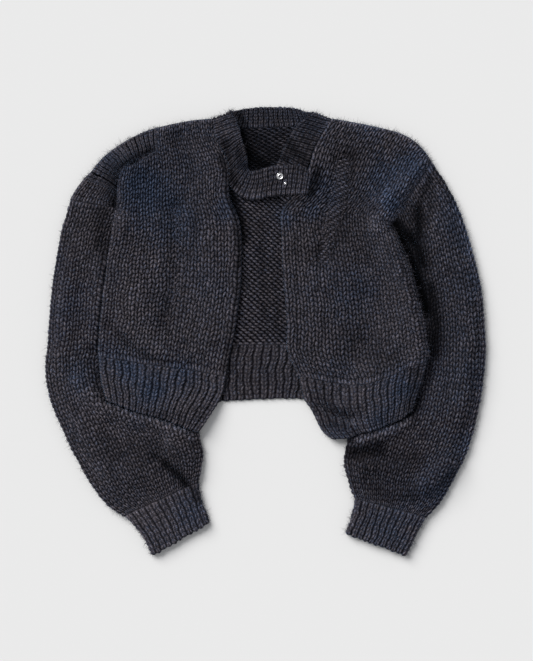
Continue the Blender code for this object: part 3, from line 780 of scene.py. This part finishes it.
def interpolate(field, s, t):
    """Catmull-Rom through a lattice that has a sample at every half stitch."""
    field = np.concatenate([2 * field[:1] - field[1:2], field, 2 * field[-1:] - field[-2:-1]])
    field = np.concatenate([2 * field[:, :1] - field[:, 1:2], field,
                            2 * field[:, -1:] - field[:, -2:-1]], axis=1)
    rows, cols = field.shape[:2]
    t, s = t * 2 + 1, s * 2 + 1
    i = np.clip(np.floor(t).astype(int), 1, rows - 3)
    j = np.clip(np.floor(s).astype(int), 1, cols - 3)

    def weights(f):
        return (0.5 * (-f + 2 * f ** 2 - f ** 3), 0.5 * (2 - 5 * f ** 2 + 3 * f ** 3),
                0.5 * (f + 4 * f ** 2 - 3 * f ** 3), 0.5 * (f ** 3 - f ** 2))
    total = 0
    for di, wi in zip((-1, 0, 1, 2), weights(t - i)):
        for dj, wj in zip((-1, 0, 1, 2), weights(s - j)):
            total = total + (wi * wj)[..., None] * field[i + di, j + dj]
    return total


class Shell:
    """Collects the points and triangles of one closed piece of cloth.

    A point has six values: its place across and down the knitting, how blue the yarn is there
    (marl and painted bluish sheen), how high up it the point is, which also sets the painted
    shade in the grooves, a random number of the stitch and how much light the painted shade and
    highlight keep.
    """

    def __init__(self, seed, name=""):
        self.points = []
        self.values = []
        self.triangles = []
        self.size = 0
        self.seed = seed
        self.name = name
        self.hairy = []

    def add_points(self, points, values):
        first = self.size
        # The sixth value is the painted shade and highlight of the piece at each point.
        values[..., 5] = painted_shade_and_highlight_at(self.name, points[..., 0], points[..., 1])
        self.points.append(points.reshape(-1, 3))
        self.values.append(values.reshape(-1, values.shape[-1]))
        self.size += points.shape[0] * points.shape[1]
        return first + np.arange(points.shape[0] * points.shape[1]).reshape(points.shape[:2])

    def add_faces(self, grid, flip, wrap=False):
        """Triangles between the rows and columns of a grid of point numbers."""
        if wrap:
            grid = np.concatenate([grid, grid[:, :1]], axis=1)
        a, b = grid[:-1, :-1].ravel(), grid[:-1, 1:].ravel()
        c, d = grid[1:, 1:].ravel(), grid[1:, :-1].ravel()
        both = np.concatenate([np.stack([a, b, c], 1), np.stack([a, c, d], 1)])
        both = both[(both != np.roll(both, 1, axis=1)).all(axis=1)]
        self.triangles.append(both[:, ::-1] if flip else both)

    def close(self, a, b, flip):
        """Triangles between two edges that run side by side."""
        every = np.concatenate(self.points)
        a = a[np.insert(a[1:] != a[:-1], 0, True)]
        b = b[np.insert(b[1:] != b[:-1], 0, True)]
        ta, tb = (path_lengths(every[k]) for k in (a, b))
        ta, tb = ta / max(ta[-1], 1e-9), tb / max(tb[-1], 1e-9)
        out = []
        i = j = 0
        while i < len(a) - 1 or j < len(b) - 1:
            if j == len(b) - 1 or (i < len(a) - 1 and ta[i + 1] <= tb[j + 1]):
                out.append((a[i], b[j], a[i + 1]))
                i += 1
            else:
                out.append((a[i], b[j], b[j + 1]))
                j += 1
        out = np.array(out)
        self.triangles.append(out[:, ::-1] if flip else out)

    def build(self, name, material):
        """The object made of them, without the points that no triangle uses."""
        points = np.concatenate(self.points) * MM
        values = np.concatenate(self.values)
        triangles = np.concatenate(self.triangles)
        used, compact = np.unique(triangles, return_inverse=True)
        triangles = compact.reshape(triangles.shape)
        points, values = points[used], values[used]
        mesh = bpy.data.meshes.new(name)
        mesh.vertices.add(len(points))
        mesh.vertices.foreach_set("co", points.astype(np.float32).ravel())
        mesh.loops.add(triangles.size)
        mesh.loops.foreach_set("vertex_index", triangles.astype(np.int32).ravel())
        mesh.polygons.add(len(triangles))
        mesh.polygons.foreach_set("loop_start", np.arange(0, triangles.size, 3, dtype=np.int32))
        mesh.update(calc_edges=True)
        mesh.shade_smooth()
        uv = mesh.uv_layers.new(name="stitches")
        uv.data.foreach_set("uv", values[triangles.ravel(), 0:2].astype(np.float32).ravel())
        tone = mesh.attributes.new("tone", "FLOAT_COLOR", "POINT")
        tone.data.foreach_set("color", values[:, 2:6].astype(np.float32).ravel())
        mesh.materials.append(material)
        obj = bpy.data.objects.new(name, mesh)
        bpy.context.scene.collection.objects.link(obj)
        return obj


def lattice(surface, wales, courses):
    """Middle points and unit normals of the cloth at every half stitch."""
    s, t = np.meshgrid(np.arange(2 * wales + 1) / 2, np.arange(2 * courses + 1) / 2)
    e = 0.02
    p = surface(s, t)
    across = surface(np.minimum(s + e, wales), t) - surface(np.maximum(s - e, 0), t)
    up = surface(s, np.minimum(t + e, courses)) - surface(s, np.maximum(t - e, 0))
    n = np.cross(across, up)
    n = n / np.maximum(np.linalg.norm(n, axis=-1), 1e-9)[..., None]
    return p, n


def painted_shade_and_highlight_at(name, x, y):
    """Painted shade and highlight: how much of its brightness the wool of a piece keeps at a
    place.
    """
    total = np.zeros(np.shape(x))
    for points, width, strength in PAINTED_SHADE_AND_HIGHLIGHT.get(name, []):
        shade = strength * np.exp(-(distance(x, y, smooth(points, 3)) / width) ** 2.2)
        total = np.where(np.abs(shade) > np.abs(total), shade, total)
    return 1 - total


def blue_sheen_and_marl_at(x, y, seed):
    """How blue the yarn is made at a place, 0 to 1: the painted bluish sheen of the table with
    the marl's random wander.
    """
    total = np.zeros(np.shape(x))
    for cx, cy, radius, strength in PAINTED_BLUE_SHEEN:
        total = total + strength * np.exp(-((x - cx) ** 2 + (y - cy) ** 2) / radius ** 2)
    return np.clip(0.15 + total * 0.75 + 0.12 * wander(x, y, 26, seed), 0, 1)


def domed(share):
    """Share of its thickness that the cloth has near a rounded edge."""
    return np.sqrt(np.maximum(1 - (1 - np.clip(share, 0, 1)) ** 2, 0.02))


def stitched(base, stitch, s, t, wales, courses, out, free, wide, seed, pucker=0.0,
             rounded=None):
    """Points of a stitched face, the values its material uses and its normals.

    base is the lattice of middles and normals, out is 1 for the upper face and -1 for the
    lower one, wide is the width of a wale, and free says over what width each edge is rounded:
    near s, far s, near t, far t.
    """
    s, t = np.broadcast_arrays(s, t)
    a, b = s % 1.0, t % 1.0
    column, row = np.floor(s + 1e-6), np.floor(t + 1e-6)
    near_s, far_s, near_t, far_t = free

    # Where each point lies in the knitting
    fade = np.clip(np.minimum(t, courses - t), 0, 1)
    drift = DRIFT * wander(s * 0.9, t / 7, 1.0, seed + 4) if stitch is KNIT else 0.0
    shifted = t + (stitch["slant"] * np.abs(2 * a - 1) + drift) * fade
    shifted = shifted + JITTER * fade * (chance(column, row, seed) - 0.5)
    inside = np.clip(np.minimum(s, wales - s), 0, 1)
    sway = SWAY_WIDE * wander(s, t, 3.1, seed + 1) + SWAY_FINE * wander(s, t, 0.9, seed + 3)
    bulge = SCALLOP / wide * np.abs(np.sin(math.pi * shifted)) * fade
    sway = sway * inside + bulge * (bool(far_s) * np.clip(1 - (wales - s), 0, 1)
                                    - bool(near_s) * np.clip(1 - s, 0, 1))
    hang = SCALLOP / COURSE * np.abs(np.sin(math.pi * s)) * (0.4 + 2 * chance(column, 7, seed))
    shifted = shifted + hang * (bool(far_t) * np.clip(1 - (courses - t), 0, 1)
                                - bool(near_t) * np.clip(1 - t, 0, 1))
    field = interpolate(np.concatenate(base, -1), s + sway, shifted)
    p, n = field[..., :3], field[..., 3:]
    n = n / np.maximum(np.linalg.norm(n, axis=-1), 1e-9)[..., None]

    # The yarn's height there, evened out along an edge that is sewn on
    height = stitch["height"](a, b)
    leg = column * 2 + (a > 0.5)
    uneven = 0.5 if stitch is KNIT or stitch is PURL else 0.25
    plump = 1 + uneven * (chance(leg, row, seed + 2) - 0.5)
    from_edges = (s * wide, (wales - s) * wide, t * COURSE, (courses - t) * COURSE)
    for width, away in zip(free[2:], from_edges[2:]):
        if not width:
            height = np.maximum(height, 0.36 * np.exp(-(away / 1.6) ** 2))
    edge = np.ones(s.shape)
    for width, away in zip(free, from_edges):
        if width:
            edge = edge * domed(away / width)
    if rounded is not None:
        edge = edge * domed(rounded(p) / ROUND)
    relief = stitch["deep"] * (height * plump - 1.0) + 0.45 * stitch["deep"]
    if pucker:
        groove = np.exp(-(np.minimum(a, 1 - a) / 0.2) ** 2)
        groove = groove * inside * chance(np.floor(s + 0.5), 3, seed) ** 1.5
        relief = relief - pucker * groove
        # Painted shade: the fan's grooves are also darkened through the yarn's height.
        height = height * (1 - 0.9 * groove)
    p = p + n * (out * (HALF + relief) * edge)[..., None]
    values = np.stack([s * 2, t, blue_sheen_and_marl_at(p[..., 0], p[..., 1], seed),
                       np.clip(height * plump, 0, 1), chance(leg, row, seed + 5),
                       np.ones(s.shape)], -1)
    return p, values, n * out


def panel(shell, surface, wales, courses, stitch, free, wide, columns=None, stop=None,
          back_stitch=None, pucker=0.0, rounded=None):
    """A panel of cloth with a stitched upper face and a plainer lower one.

    stop gives the course at which each wale ends, and rounded the distance in from there.
    """
    base = lattice(surface, wales, courses)
    flip = base[1][courses, wales, 2] < 0
    base = (base[0], base[1] * (-1 if flip else 1))
    edges = []
    for kind, out in ((stitch, 1), (back_stitch or PLAIN, -1)):
        cols = columns if columns is not None and out > 0 else spread(wales, kind["columns"])
        rows = spread(courses, kind["rows"])
        s, t = np.meshgrid(cols, rows)
        limit = None if stop is None else stop(cols)
        t_used = t if limit is None else np.minimum(t, limit[None, :])
        p, values, n = stitched(base, kind, s, t_used, wales, courses, out, free, wide,
                                shell.seed, pucker, rounded)
        if out > 0 or back_stitch:
            shell.hairy.append((p, values, n))
        grid = shell.add_points(p, values)
        if limit is not None:
            last = np.maximum((t < limit[None, :]).sum(0), 1)
            keep = np.minimum(np.arange(len(rows))[:, None], last[None, :])
            grid = grid[np.minimum(keep, len(rows) - 1), np.arange(len(cols))[None, :]]
        shell.add_faces(grid, flip if out > 0 else not flip)
        edges.append(grid)
    top, low = edges
    shell.close(top[0], low[0], flip)
    shell.close(top[-1], low[-1], not flip)
    shell.close(top[:, 0], low[:, 0], not flip)
    shell.close(top[:, -1], low[:, -1], flip)


def tube(shell, surface, ended, around, courses, stitch, under, free, wide):
    """A tube of cloth, plain inside and open at both ends; under is its lower side's stitch."""
    total = 2 * around
    base = lattice(surface, total, courses)
    flip = base[1][courses, around // 2 * 2, 2] < 0
    base = (base[0], base[1] * (-1 if flip else 1))
    upper = spread(around, stitch["columns"])
    outer_cols = np.concatenate([upper[:-1], around + spread(around, under["columns"])[:-1]])
    inner_cols = spread(total, PLAIN["columns"])[:-1]
    rims = []
    for kind, out, cols in ((stitch, 1, outer_cols), (PLAIN, -1, inner_cols)):
        s, t = np.meshgrid(cols, spread(courses, kind["rows"]))
        p, values, n = stitched(base, kind, s, t, total, courses, out, free, wide, shell.seed)
        if out > 0:
            shell.hairy.append((p, values, n))
        grid = shell.add_points(p, values)
        gone = ended(s, t)
        for i in np.nonzero(gone.any(axis=1))[0]:
            grid[i, gone[i]] = grid[i, np.argmax(gone[i])]
        shell.add_faces(grid, flip if out > 0 else not flip, wrap=True)
        rims.append(grid)
    top, low = rims
    for row, side in ((0, flip), (-1, not flip)):
        shell.close(np.append(top[row], top[row, 0]), np.append(low[row], low[row, 0]), side)


# Materials

WARM = (0.115, 0.102, 0.116, 1.0)
# Blue of the marl and of the painted bluish sheen
COLD = (0.058, 0.083, 0.145, 1.0)
# Near black that the grooves between stitches are painted with as their shade
SHADE = (0.002, 0.002, 0.003, 1.0)
WOOL = {"Roughness": 0.95, "Specular IOR Level": 0.05, "Sheen Weight": 0.30,
        "Sheen Roughness": 0.22, "Sheen Tint": (0.45, 0.65, 1.0, 1.0)}
METAL = {"Base Color": (0.80, 0.80, 0.82, 1.0), "Metallic": 1.0}
FLOOR = {"Base Color": (0.78, 0.785, 0.79, 1.0), "Roughness": 0.9, "Specular IOR Level": 0.0}


class Look:
    """A new material and short ways to add nodes to it."""

    def __init__(self, name, settings):
        self.material = bpy.data.materials.new(name)
        self.material.use_nodes = True
        self.tree = self.material.node_tree
        self.shader = self.tree.nodes["Principled BSDF"]
        for socket, value in settings.items():
            self.shader.inputs[socket].default_value = value

    def node(self, kind, inputs=(), **properties):
        """A node; inputs pairs the name or number of each with an output or a value for it."""
        node = self.tree.nodes.new("ShaderNode" + kind)
        for name, value in properties.items():
            setattr(node, name, value)
        for key, value in inputs:
            if hasattr(value, "is_output"):
                self.tree.links.new(value, node.inputs[key])
            else:
                node.inputs[key].default_value = value
        return node

    def noise(self, scale, detail, rough, spot):
        """Noise from 0 to 1 at a spot."""
        return self.node("TexNoise", [("Scale", scale), ("Detail", detail),
                                      ("Roughness", rough), ("Vector", spot)]).outputs["Fac"]

    def mix(self, factor, low, high, kind="MIX"):
        """A colour between two others, or their product."""
        inputs = [("Factor", factor), ("A", low), ("B", high)]
        return self.node("Mix", inputs, data_type="RGBA", blend_type=kind).outputs["Result"]

    def maths(self, operation, *values, clamp=False):
        """The result of a sum, with up to three values."""
        return self.node("Math", enumerate(values), operation=operation,
                         use_clamp=clamp).outputs[0]

    def join(self, output, socket):
        """Links an output to a socket of the shader."""
        self.tree.links.new(output, self.shader.inputs[socket])


def knit_material(name):
    """Loosely spun wool: charcoal, marled, hairy and twisted, with painted bluish sheen, shade
    and highlight.
    """
    look = Look(name, WOOL)
    maths = look.maths
    tone = look.node("Attribute", attribute_name="tone")
    cool, height, luck = look.node("SeparateColor", [(0, tone.outputs["Color"])]).outputs
    spot = look.node("TexCoord").outputs["Object"]
    fleck = look.noise(520.0, 4.0, 0.8, spot)
    hair = look.noise(1500.0, 4.0, 0.75, spot)
    patches = look.noise(60.0, 2.0, 0.6, spot)
    dye = look.noise(430.0, 3.0, 0.7, spot)

    # The painted bluish sheen and marl, varied by the yarn's own patches, flecks and dye.
    blue = cool
    for grain, gain, clamp in ((patches, 0.5, True), (fleck, -0.6, False), (dye, 3.8, True)):
        blue = maths("MULTIPLY_ADD", maths("SUBTRACT", grain, 0.5), gain, blue, clamp=clamp)
    # The stitch's random tone, times the painted shade and highlight in the attribute's alpha
    # and the yarn's flecks.
    light = maths("MULTIPLY", maths("MULTIPLY_ADD", luck, 0.4, 0.8), tone.outputs["Alpha"])
    light = maths("MULTIPLY", light, maths("MULTIPLY_ADD", fleck, 6.4, -2.2))
    yarn = look.mix(1.0, look.mix(blue, WARM, COLD), light, "MULTIPLY")
    # Painted shade: the colour goes to near black in the grooves between stitches, by the
    # yarn's height.
    look.join(look.mix(maths("POWER", height, 1.1), SHADE, yarn), "Base Color")

    uv = look.node("UVMap", uv_map="stitches").outputs[0]
    place = look.node("SeparateXYZ", [(0, uv)]).outputs
    phase = maths("MULTIPLY_ADD", place["Y"], 3.0, maths("MULTIPLY", place["X"], 1.5))
    twist = maths("SINE", maths("MULTIPLY", phase, 2 * math.pi))
    bump = look.node("Bump", [("Strength", 0.7), ("Distance", 0.0009),
                              ("Height", maths("MULTIPLY_ADD", twist, 0.25, hair))])
    look.join(bump.outputs[0], "Normal")
    return look.material


def metal_material(name):
    """Bright metal, finely scratched."""
    look = Look(name, METAL)
    scratch = look.node("TexNoise", [("Scale", 900.0), ("Detail", 4.0)]).outputs["Fac"]
    look.join(look.maths("MULTIPLY_ADD", scratch, 0.25, 0.12), "Roughness")
    return look.material


# Pieces

def begin(name):
    """An empty shell for a piece of cloth, and the piece's wales and courses."""
    seed, wales, courses = CUT[name][:3]
    return Shell(seed, name), wales, courses


def make_halo(shell, node, material):
    """Loose fibres that stand off the wool, each a thin bent sliver."""
    rng = np.random.RandomState(shell.seed)
    points = np.concatenate([p.reshape(-1, 3) for p, v, n in shell.hairy])
    height = np.concatenate([v[..., 3].ravel() for p, v, n in shell.hairy])
    normals = np.concatenate([n.reshape(-1, 3) for p, v, n in shell.hairy])
    count = int(len(points) * HAIRS)
    likely = (height + 0.05) * (1 + EDGE_HAIRS * (1 - np.abs(normals[:, 2])))
    pick = rng.choice(len(points), count, p=likely / likely.sum())
    root = points[pick]
    lean = rng.normal(size=(count, 3)) * (1.0, 1.0, 0.45) + 0.8 * normals[pick]
    lean /= np.linalg.norm(lean, axis=1)[:, None]
    curl = rng.normal(size=(count, 3)) * 0.5
    length = (HAIR_SHORT + (HAIR_LONG - HAIR_SHORT) * rng.rand(count) ** 2)[:, None]
    middle = root + lean * length * 0.5
    tip = middle + (lean + curl) * length * 0.5
    wide = np.cross(lean, rng.normal(size=(count, 3)))
    wide *= HAIR_WIDTH / 2 / np.maximum(np.linalg.norm(wide, axis=1), 1e-6)[:, None]
    spots = np.stack([root - wide, root + wide, middle + wide, middle - wide, tip], 1)
    spots[..., 2] = np.clip(spots[..., 2], HAIR_LOW, HAIR_HIGH)
    halo = Shell(shell.seed, node)
    values = np.zeros((count, 5, 6))
    values[..., 2] = blue_sheen_and_marl_at(spots[..., 0], spots[..., 1], shell.seed)
    # At this height the fibres take part of the painted groove shade.
    values[..., 3] = 0.6
    values[..., 4] = rng.rand(count)[:, None]
    k = halo.add_points(spots, values)
    halo.triangles.append(np.concatenate([k[:, [0, 1, 2]], k[:, [0, 2, 3]], k[:, [3, 2, 4]]]))
    obj = halo.build(node + "_halo", material)
    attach(obj, "root")
    return obj


def finish_piece(shell, node):
    """Builds a shell and its fibres in a wool material, and hides the CAD part."""
    material = knit_material(node + "_wool")
    obj = shell.build(node + "_cloth", material)
    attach(obj, "root")
    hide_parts(node)
    halo = make_halo(shell, node, material)


PLEAT_PATH = joined(PLEAT_SIDE[:4], PLEAT_EDGE[1:])


def pleat_stop(surface, courses):
    """The course at which each wale of the right front reaches the edge of its pleat."""
    edge = smooth(PLEAT_EDGE)

    def stop(columns):
        s, t = np.meshgrid(columns, np.linspace(0, courses, PLEAT_STEPS))
        p = surface(s, t)
        over = p[..., 1] > np.interp(p[..., 0], edge[:, 0], edge[:, 1])
        reached = np.where(over.any(axis=0), t[np.argmax(over, axis=0), 0], courses)
        x_there = p[np.argmax(over, axis=0), np.arange(len(columns)), 0]
        return np.where(x_there < edge[-1, 0], reached, float(courses))
    return stop


def from_pleat(p):
    """Distance in from the edge of the pleat, and far where there is none."""
    d = distance(p[..., 0], p[..., 1], PLEAT_PATH)
    return np.where(p[..., 1] > PLEAT_SIDE[0][1], d + 12 * ease((p[..., 0] + 165) / 13), 99)


def sunken(place, wales, courses, to_edge):
    """A surface whose cloth sinks in under the pleat."""
    plain = body_surface("right_front", place, fractions(wales, FAN_WIDE),
                         fractions(courses, FAN_TALL, False, to_edge))

    def surface(s, t):
        p = plain(s, t)
        inside = distance(p[..., 0], p[..., 1], smooth(UNDER_PLEAT))
        p[..., 2] -= SINK * (1 - ease((inside - 7) / 14)) * ease((-152 - p[..., 0]) / 16)
        return p
    return surface


def add_pleat(shell, shoulder):
    """The gathered fan that comes out of the pleat, and the cloth between it and the sleeve."""
    shell.name = "pleat"
    head = shoulder[(shoulder[:, 1] >= FAN_FOOT[-1][1]) & (shoulder[:, 0] <= FAN_TO)]
    fan = patch(smooth(FAN_FOOT), smooth([UNDER_PLEAT[-1], tuple(head[-1])]),
                joined([FAN_FOOT[0], UNDER_PLEAT[1]], UNDER_PLEAT[1:]), head)
    top = patch(smooth(SHOULDER["right"][:3]), smooth([UNDER_PLEAT[0], FAN_FOOT[0]]),
                smooth([ARMHOLE["right"][1], UNDER_PLEAT[0]]), smooth(FAN_FOOT[::-1]))
    joins = (0, 0, 0, 0)
    panel(shell, sunken(fan, *FAN, True), *FAN, RIBS, joins, WALE, pucker=PUCKER)
    panel(shell, sunken(top, *TOP, False), *TOP, KNIT, joins, WALE)


def make_front(side):
    name = side + "_front"
    shell, wales, courses = begin(name)
    opening = (smooth(OPENING[side][::-1]), smooth(NECK[side][::-1]))
    foot, shoulder = smooth(RIB_TOP[side]), smooth(SHOULDER[side])
    right = side == "right"
    if right:
        outer = (smooth(SIDE[side]), smooth(PLEAT_SIDE))
        place = patch(outer, opening, foot, shoulder[shoulder[:, 0] >= MAIN_FROM])
    else:
        outer = (smooth(SIDE[side]), smooth(ARMHOLE[side]))
        place = patch(opening, outer, foot, shoulder[::-1])
    surface = body_surface(name, place, fractions(wales, FRONT_WIDE, right, not right),
                           fractions(courses, FRONT_TALL, False, True))
    if right:
        panel(shell, surface, wales, courses, KNIT, (0, ROUND, 0, 0), WALE,
              stop=pleat_stop(surface, courses), rounded=from_pleat)
        add_pleat(shell, shoulder)
    else:
        panel(shell, surface, wales, courses, KNIT, (ROUND, 0, 0, 0), WALE)
    finish_piece(shell, name)


def make_hem(name):
    """A hem rib, between the side seams or from one of them to the opening."""
    shell, ribs, courses = begin(name)
    side = name.split("_")[0]
    near, far = side != "left", side != "right"
    first = RIB_SIDE["right"] if near else RIB_OPENING[side]
    last = RIB_SIDE["left"] if far else RIB_OPENING[side]
    place = patch(smooth(first[::-1]), smooth(last[::-1]), smooth(RIB_FOOT[side]),
                  smooth(RIB_TOP[side]))
    wide = BACK_WIDE if side == "back" else FRONT_WIDE
    surface = body_surface(name, place, fractions(ribs, wide, near, far),
                           fractions(courses, HEM_TALL))
    free = (0 if near else ROUND, 0 if far else ROUND, ROUND, 0)
    panel(shell, surface, ribs, courses, RIBS, free, RIB)
    finish_piece(shell, name)


def make_back():
    shell, wales, courses = begin("back")
    outer = {s: (smooth(SIDE[s]), smooth(ARMHOLE[s])) for s in SIDE}
    head = joined(SHOULDER["right"], BACK_NECK, SHOULDER["left"][::-1])
    place = patch(outer["right"], outer["left"], smooth(RIB_TOP["back"]), head)
    surface = body_surface("back", place, fractions(wales, BACK_WIDE, True, True),
                           fractions(courses, BACK_TALL, False, True))
    first, last = SEEN_WALES
    coarse, fine = PLAIN["columns"], PURL["columns"]
    columns = np.append(np.concatenate([k + np.asarray(fine if first <= k < last else coarse)
                                        for k in range(wales)]), wales)
    panel(shell, surface, wales, courses, PURL, (0, 0, 0, 0), WALE, columns=columns)
    seen = (columns >= first) & (columns < last)
    shell.hairy = [tuple(part[:, seen] for part in face) for face in shell.hairy]
    finish_piece(shell, "back")


def make_tube(name, rows, stitch, under, free, wide):
    """A sleeve or a cuff from its rows of outer and inner places."""
    shell, around, courses = begin(name)
    surface, ended = tube_surface(name, rows, around, courses)
    tube(shell, surface, ended, around, courses, stitch, under, free, wide)
    finish_piece(shell, name)


def make_neckband():
    shell, ribs, courses = begin("neckband")
    surface = band_surface(BAND, ribs, courses)
    free = (ROUND, ROUND, BAND_ROUND, ROUND)
    panel(shell, surface, ribs, courses, RIBS, free, BAND_RIB, back_stitch=TURNED)
    finish_piece(shell, "neckband")


def make_disc(node, centre, profile):
    """A fastener half turned on its own axis from a profile of radius and height."""
    shape = np.asarray(profile)[:, None]
    angle = np.arange(DISC_SIDES) * 2 * math.pi / DISC_SIDES
    points = np.stack([centre[0] + shape[..., 0] * np.cos(angle),
                       centre[1] + shape[..., 0] * np.sin(angle),
                       FASTENER_FOOT + shape[..., 1] + 0 * angle], -1)
    shell = Shell(0)
    grid = shell.add_points(points, np.ones(points.shape[:2] + (6,)))
    shell.add_faces(np.concatenate([grid, grid[:1]]), False, wrap=True)
    obj = shell.build(node + "_metalwork", metal_material(node + "_polish"))
    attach(obj, "root")
    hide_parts(node)


def ring_profile(outer, hole, thick):
    """A flanged ring: rolled rim, shallow dish and a raised lip round the hole."""
    r, h = outer / 2, hole / 2
    return [(h, 0.0), (r - 0.4, 0.0), (r - 0.1, 0.25), (r, 0.6), (r - 0.15, 1.0),
            (r - 0.5, 1.2), (r - 1.0, 1.1), (r - 1.4, 0.8), (h + 1.0, 0.8),
            (h + 0.6, thick - 0.1), (h + 0.3, thick), (h + 0.05, thick - 0.2),
            (h, thick - 0.6)]


def cap_profile(outer, hole, thick):
    """A small domed button on a flange, closed but for a point in the middle."""
    r, h = outer / 2, hole / 2 + 0.02
    return [(h, 0.0), (r - 0.3, 0.0), (r, 0.3), (r - 0.1, 0.6), (r - 0.6, 0.8),
            (r - 0.8, thick - 0.3), (r - 1.2, thick), (h, thick + 0.1)]


# Stage

def make_floor():
    mesh = bpy.data.meshes.new("floor")
    half, down = 3.0, -0.0002
    mesh.from_pydata([(-half, -half, down), (half, -half, down), (half, half, down),
                      (-half, half, down)], [], [(0, 1, 2, 3)])
    mesh.materials.append(Look("floor", FLOOR).material)
    obj = bpy.data.objects.new("floor", mesh)
    bpy.context.scene.collection.objects.link(obj)


def make_light():
    world = bpy.data.worlds.new("studio")
    world.use_nodes = True
    sky = world.node_tree.nodes["Background"].inputs
    sky["Color"].default_value = (0.97, 0.98, 1.0, 1.0)
    sky["Strength"].default_value = 0.38
    bpy.context.scene.world = world
    lamp = bpy.data.lights.new("key", "SUN")
    lamp.energy = 3.45
    lamp.angle = math.radians(40)
    lamp.color = (1.0, 0.985, 0.965)
    key = bpy.data.objects.new("key", lamp)
    key.rotation_euler = (math.radians(-35), math.radians(-40), 0)
    bpy.context.scene.collection.objects.link(key)


def make_camera():
    data = bpy.data.cameras.new("camera")
    data.lens = LENS
    data.sensor_width = SENSOR
    data.clip_end = 20.0
    camera = bpy.data.objects.new("camera", data)
    camera.location = (CAMERA_X * MM, CAMERA_Y * MM, CAMERA_UP * MM)
    bpy.context.scene.collection.objects.link(camera)
    bpy.context.scene.camera = camera
    bpy.context.scene.view_settings.view_transform = "Standard"


make_camera()
make_light()
make_floor()
make_back()
make_hem("back_hem")
for side in ("right", "left"):
    make_front(side)
    make_hem(side + "_front_hem")
    make_tube(side + "_sleeve", tucked(SLEEVE[side]), KNIT, PLAIN, (0, 0, 0, 0), WALE)
    make_tube(side + "_cuff", CUFF[side], RIBS, RIBS, (0, 0, 0, ROUND), RIB)
make_neckband()
make_disc("snap_socket", SOCKET[0], ring_profile(*SOCKET[1:]))
make_disc("snap_stud", STUD[0], cap_profile(*STUD[1:]))
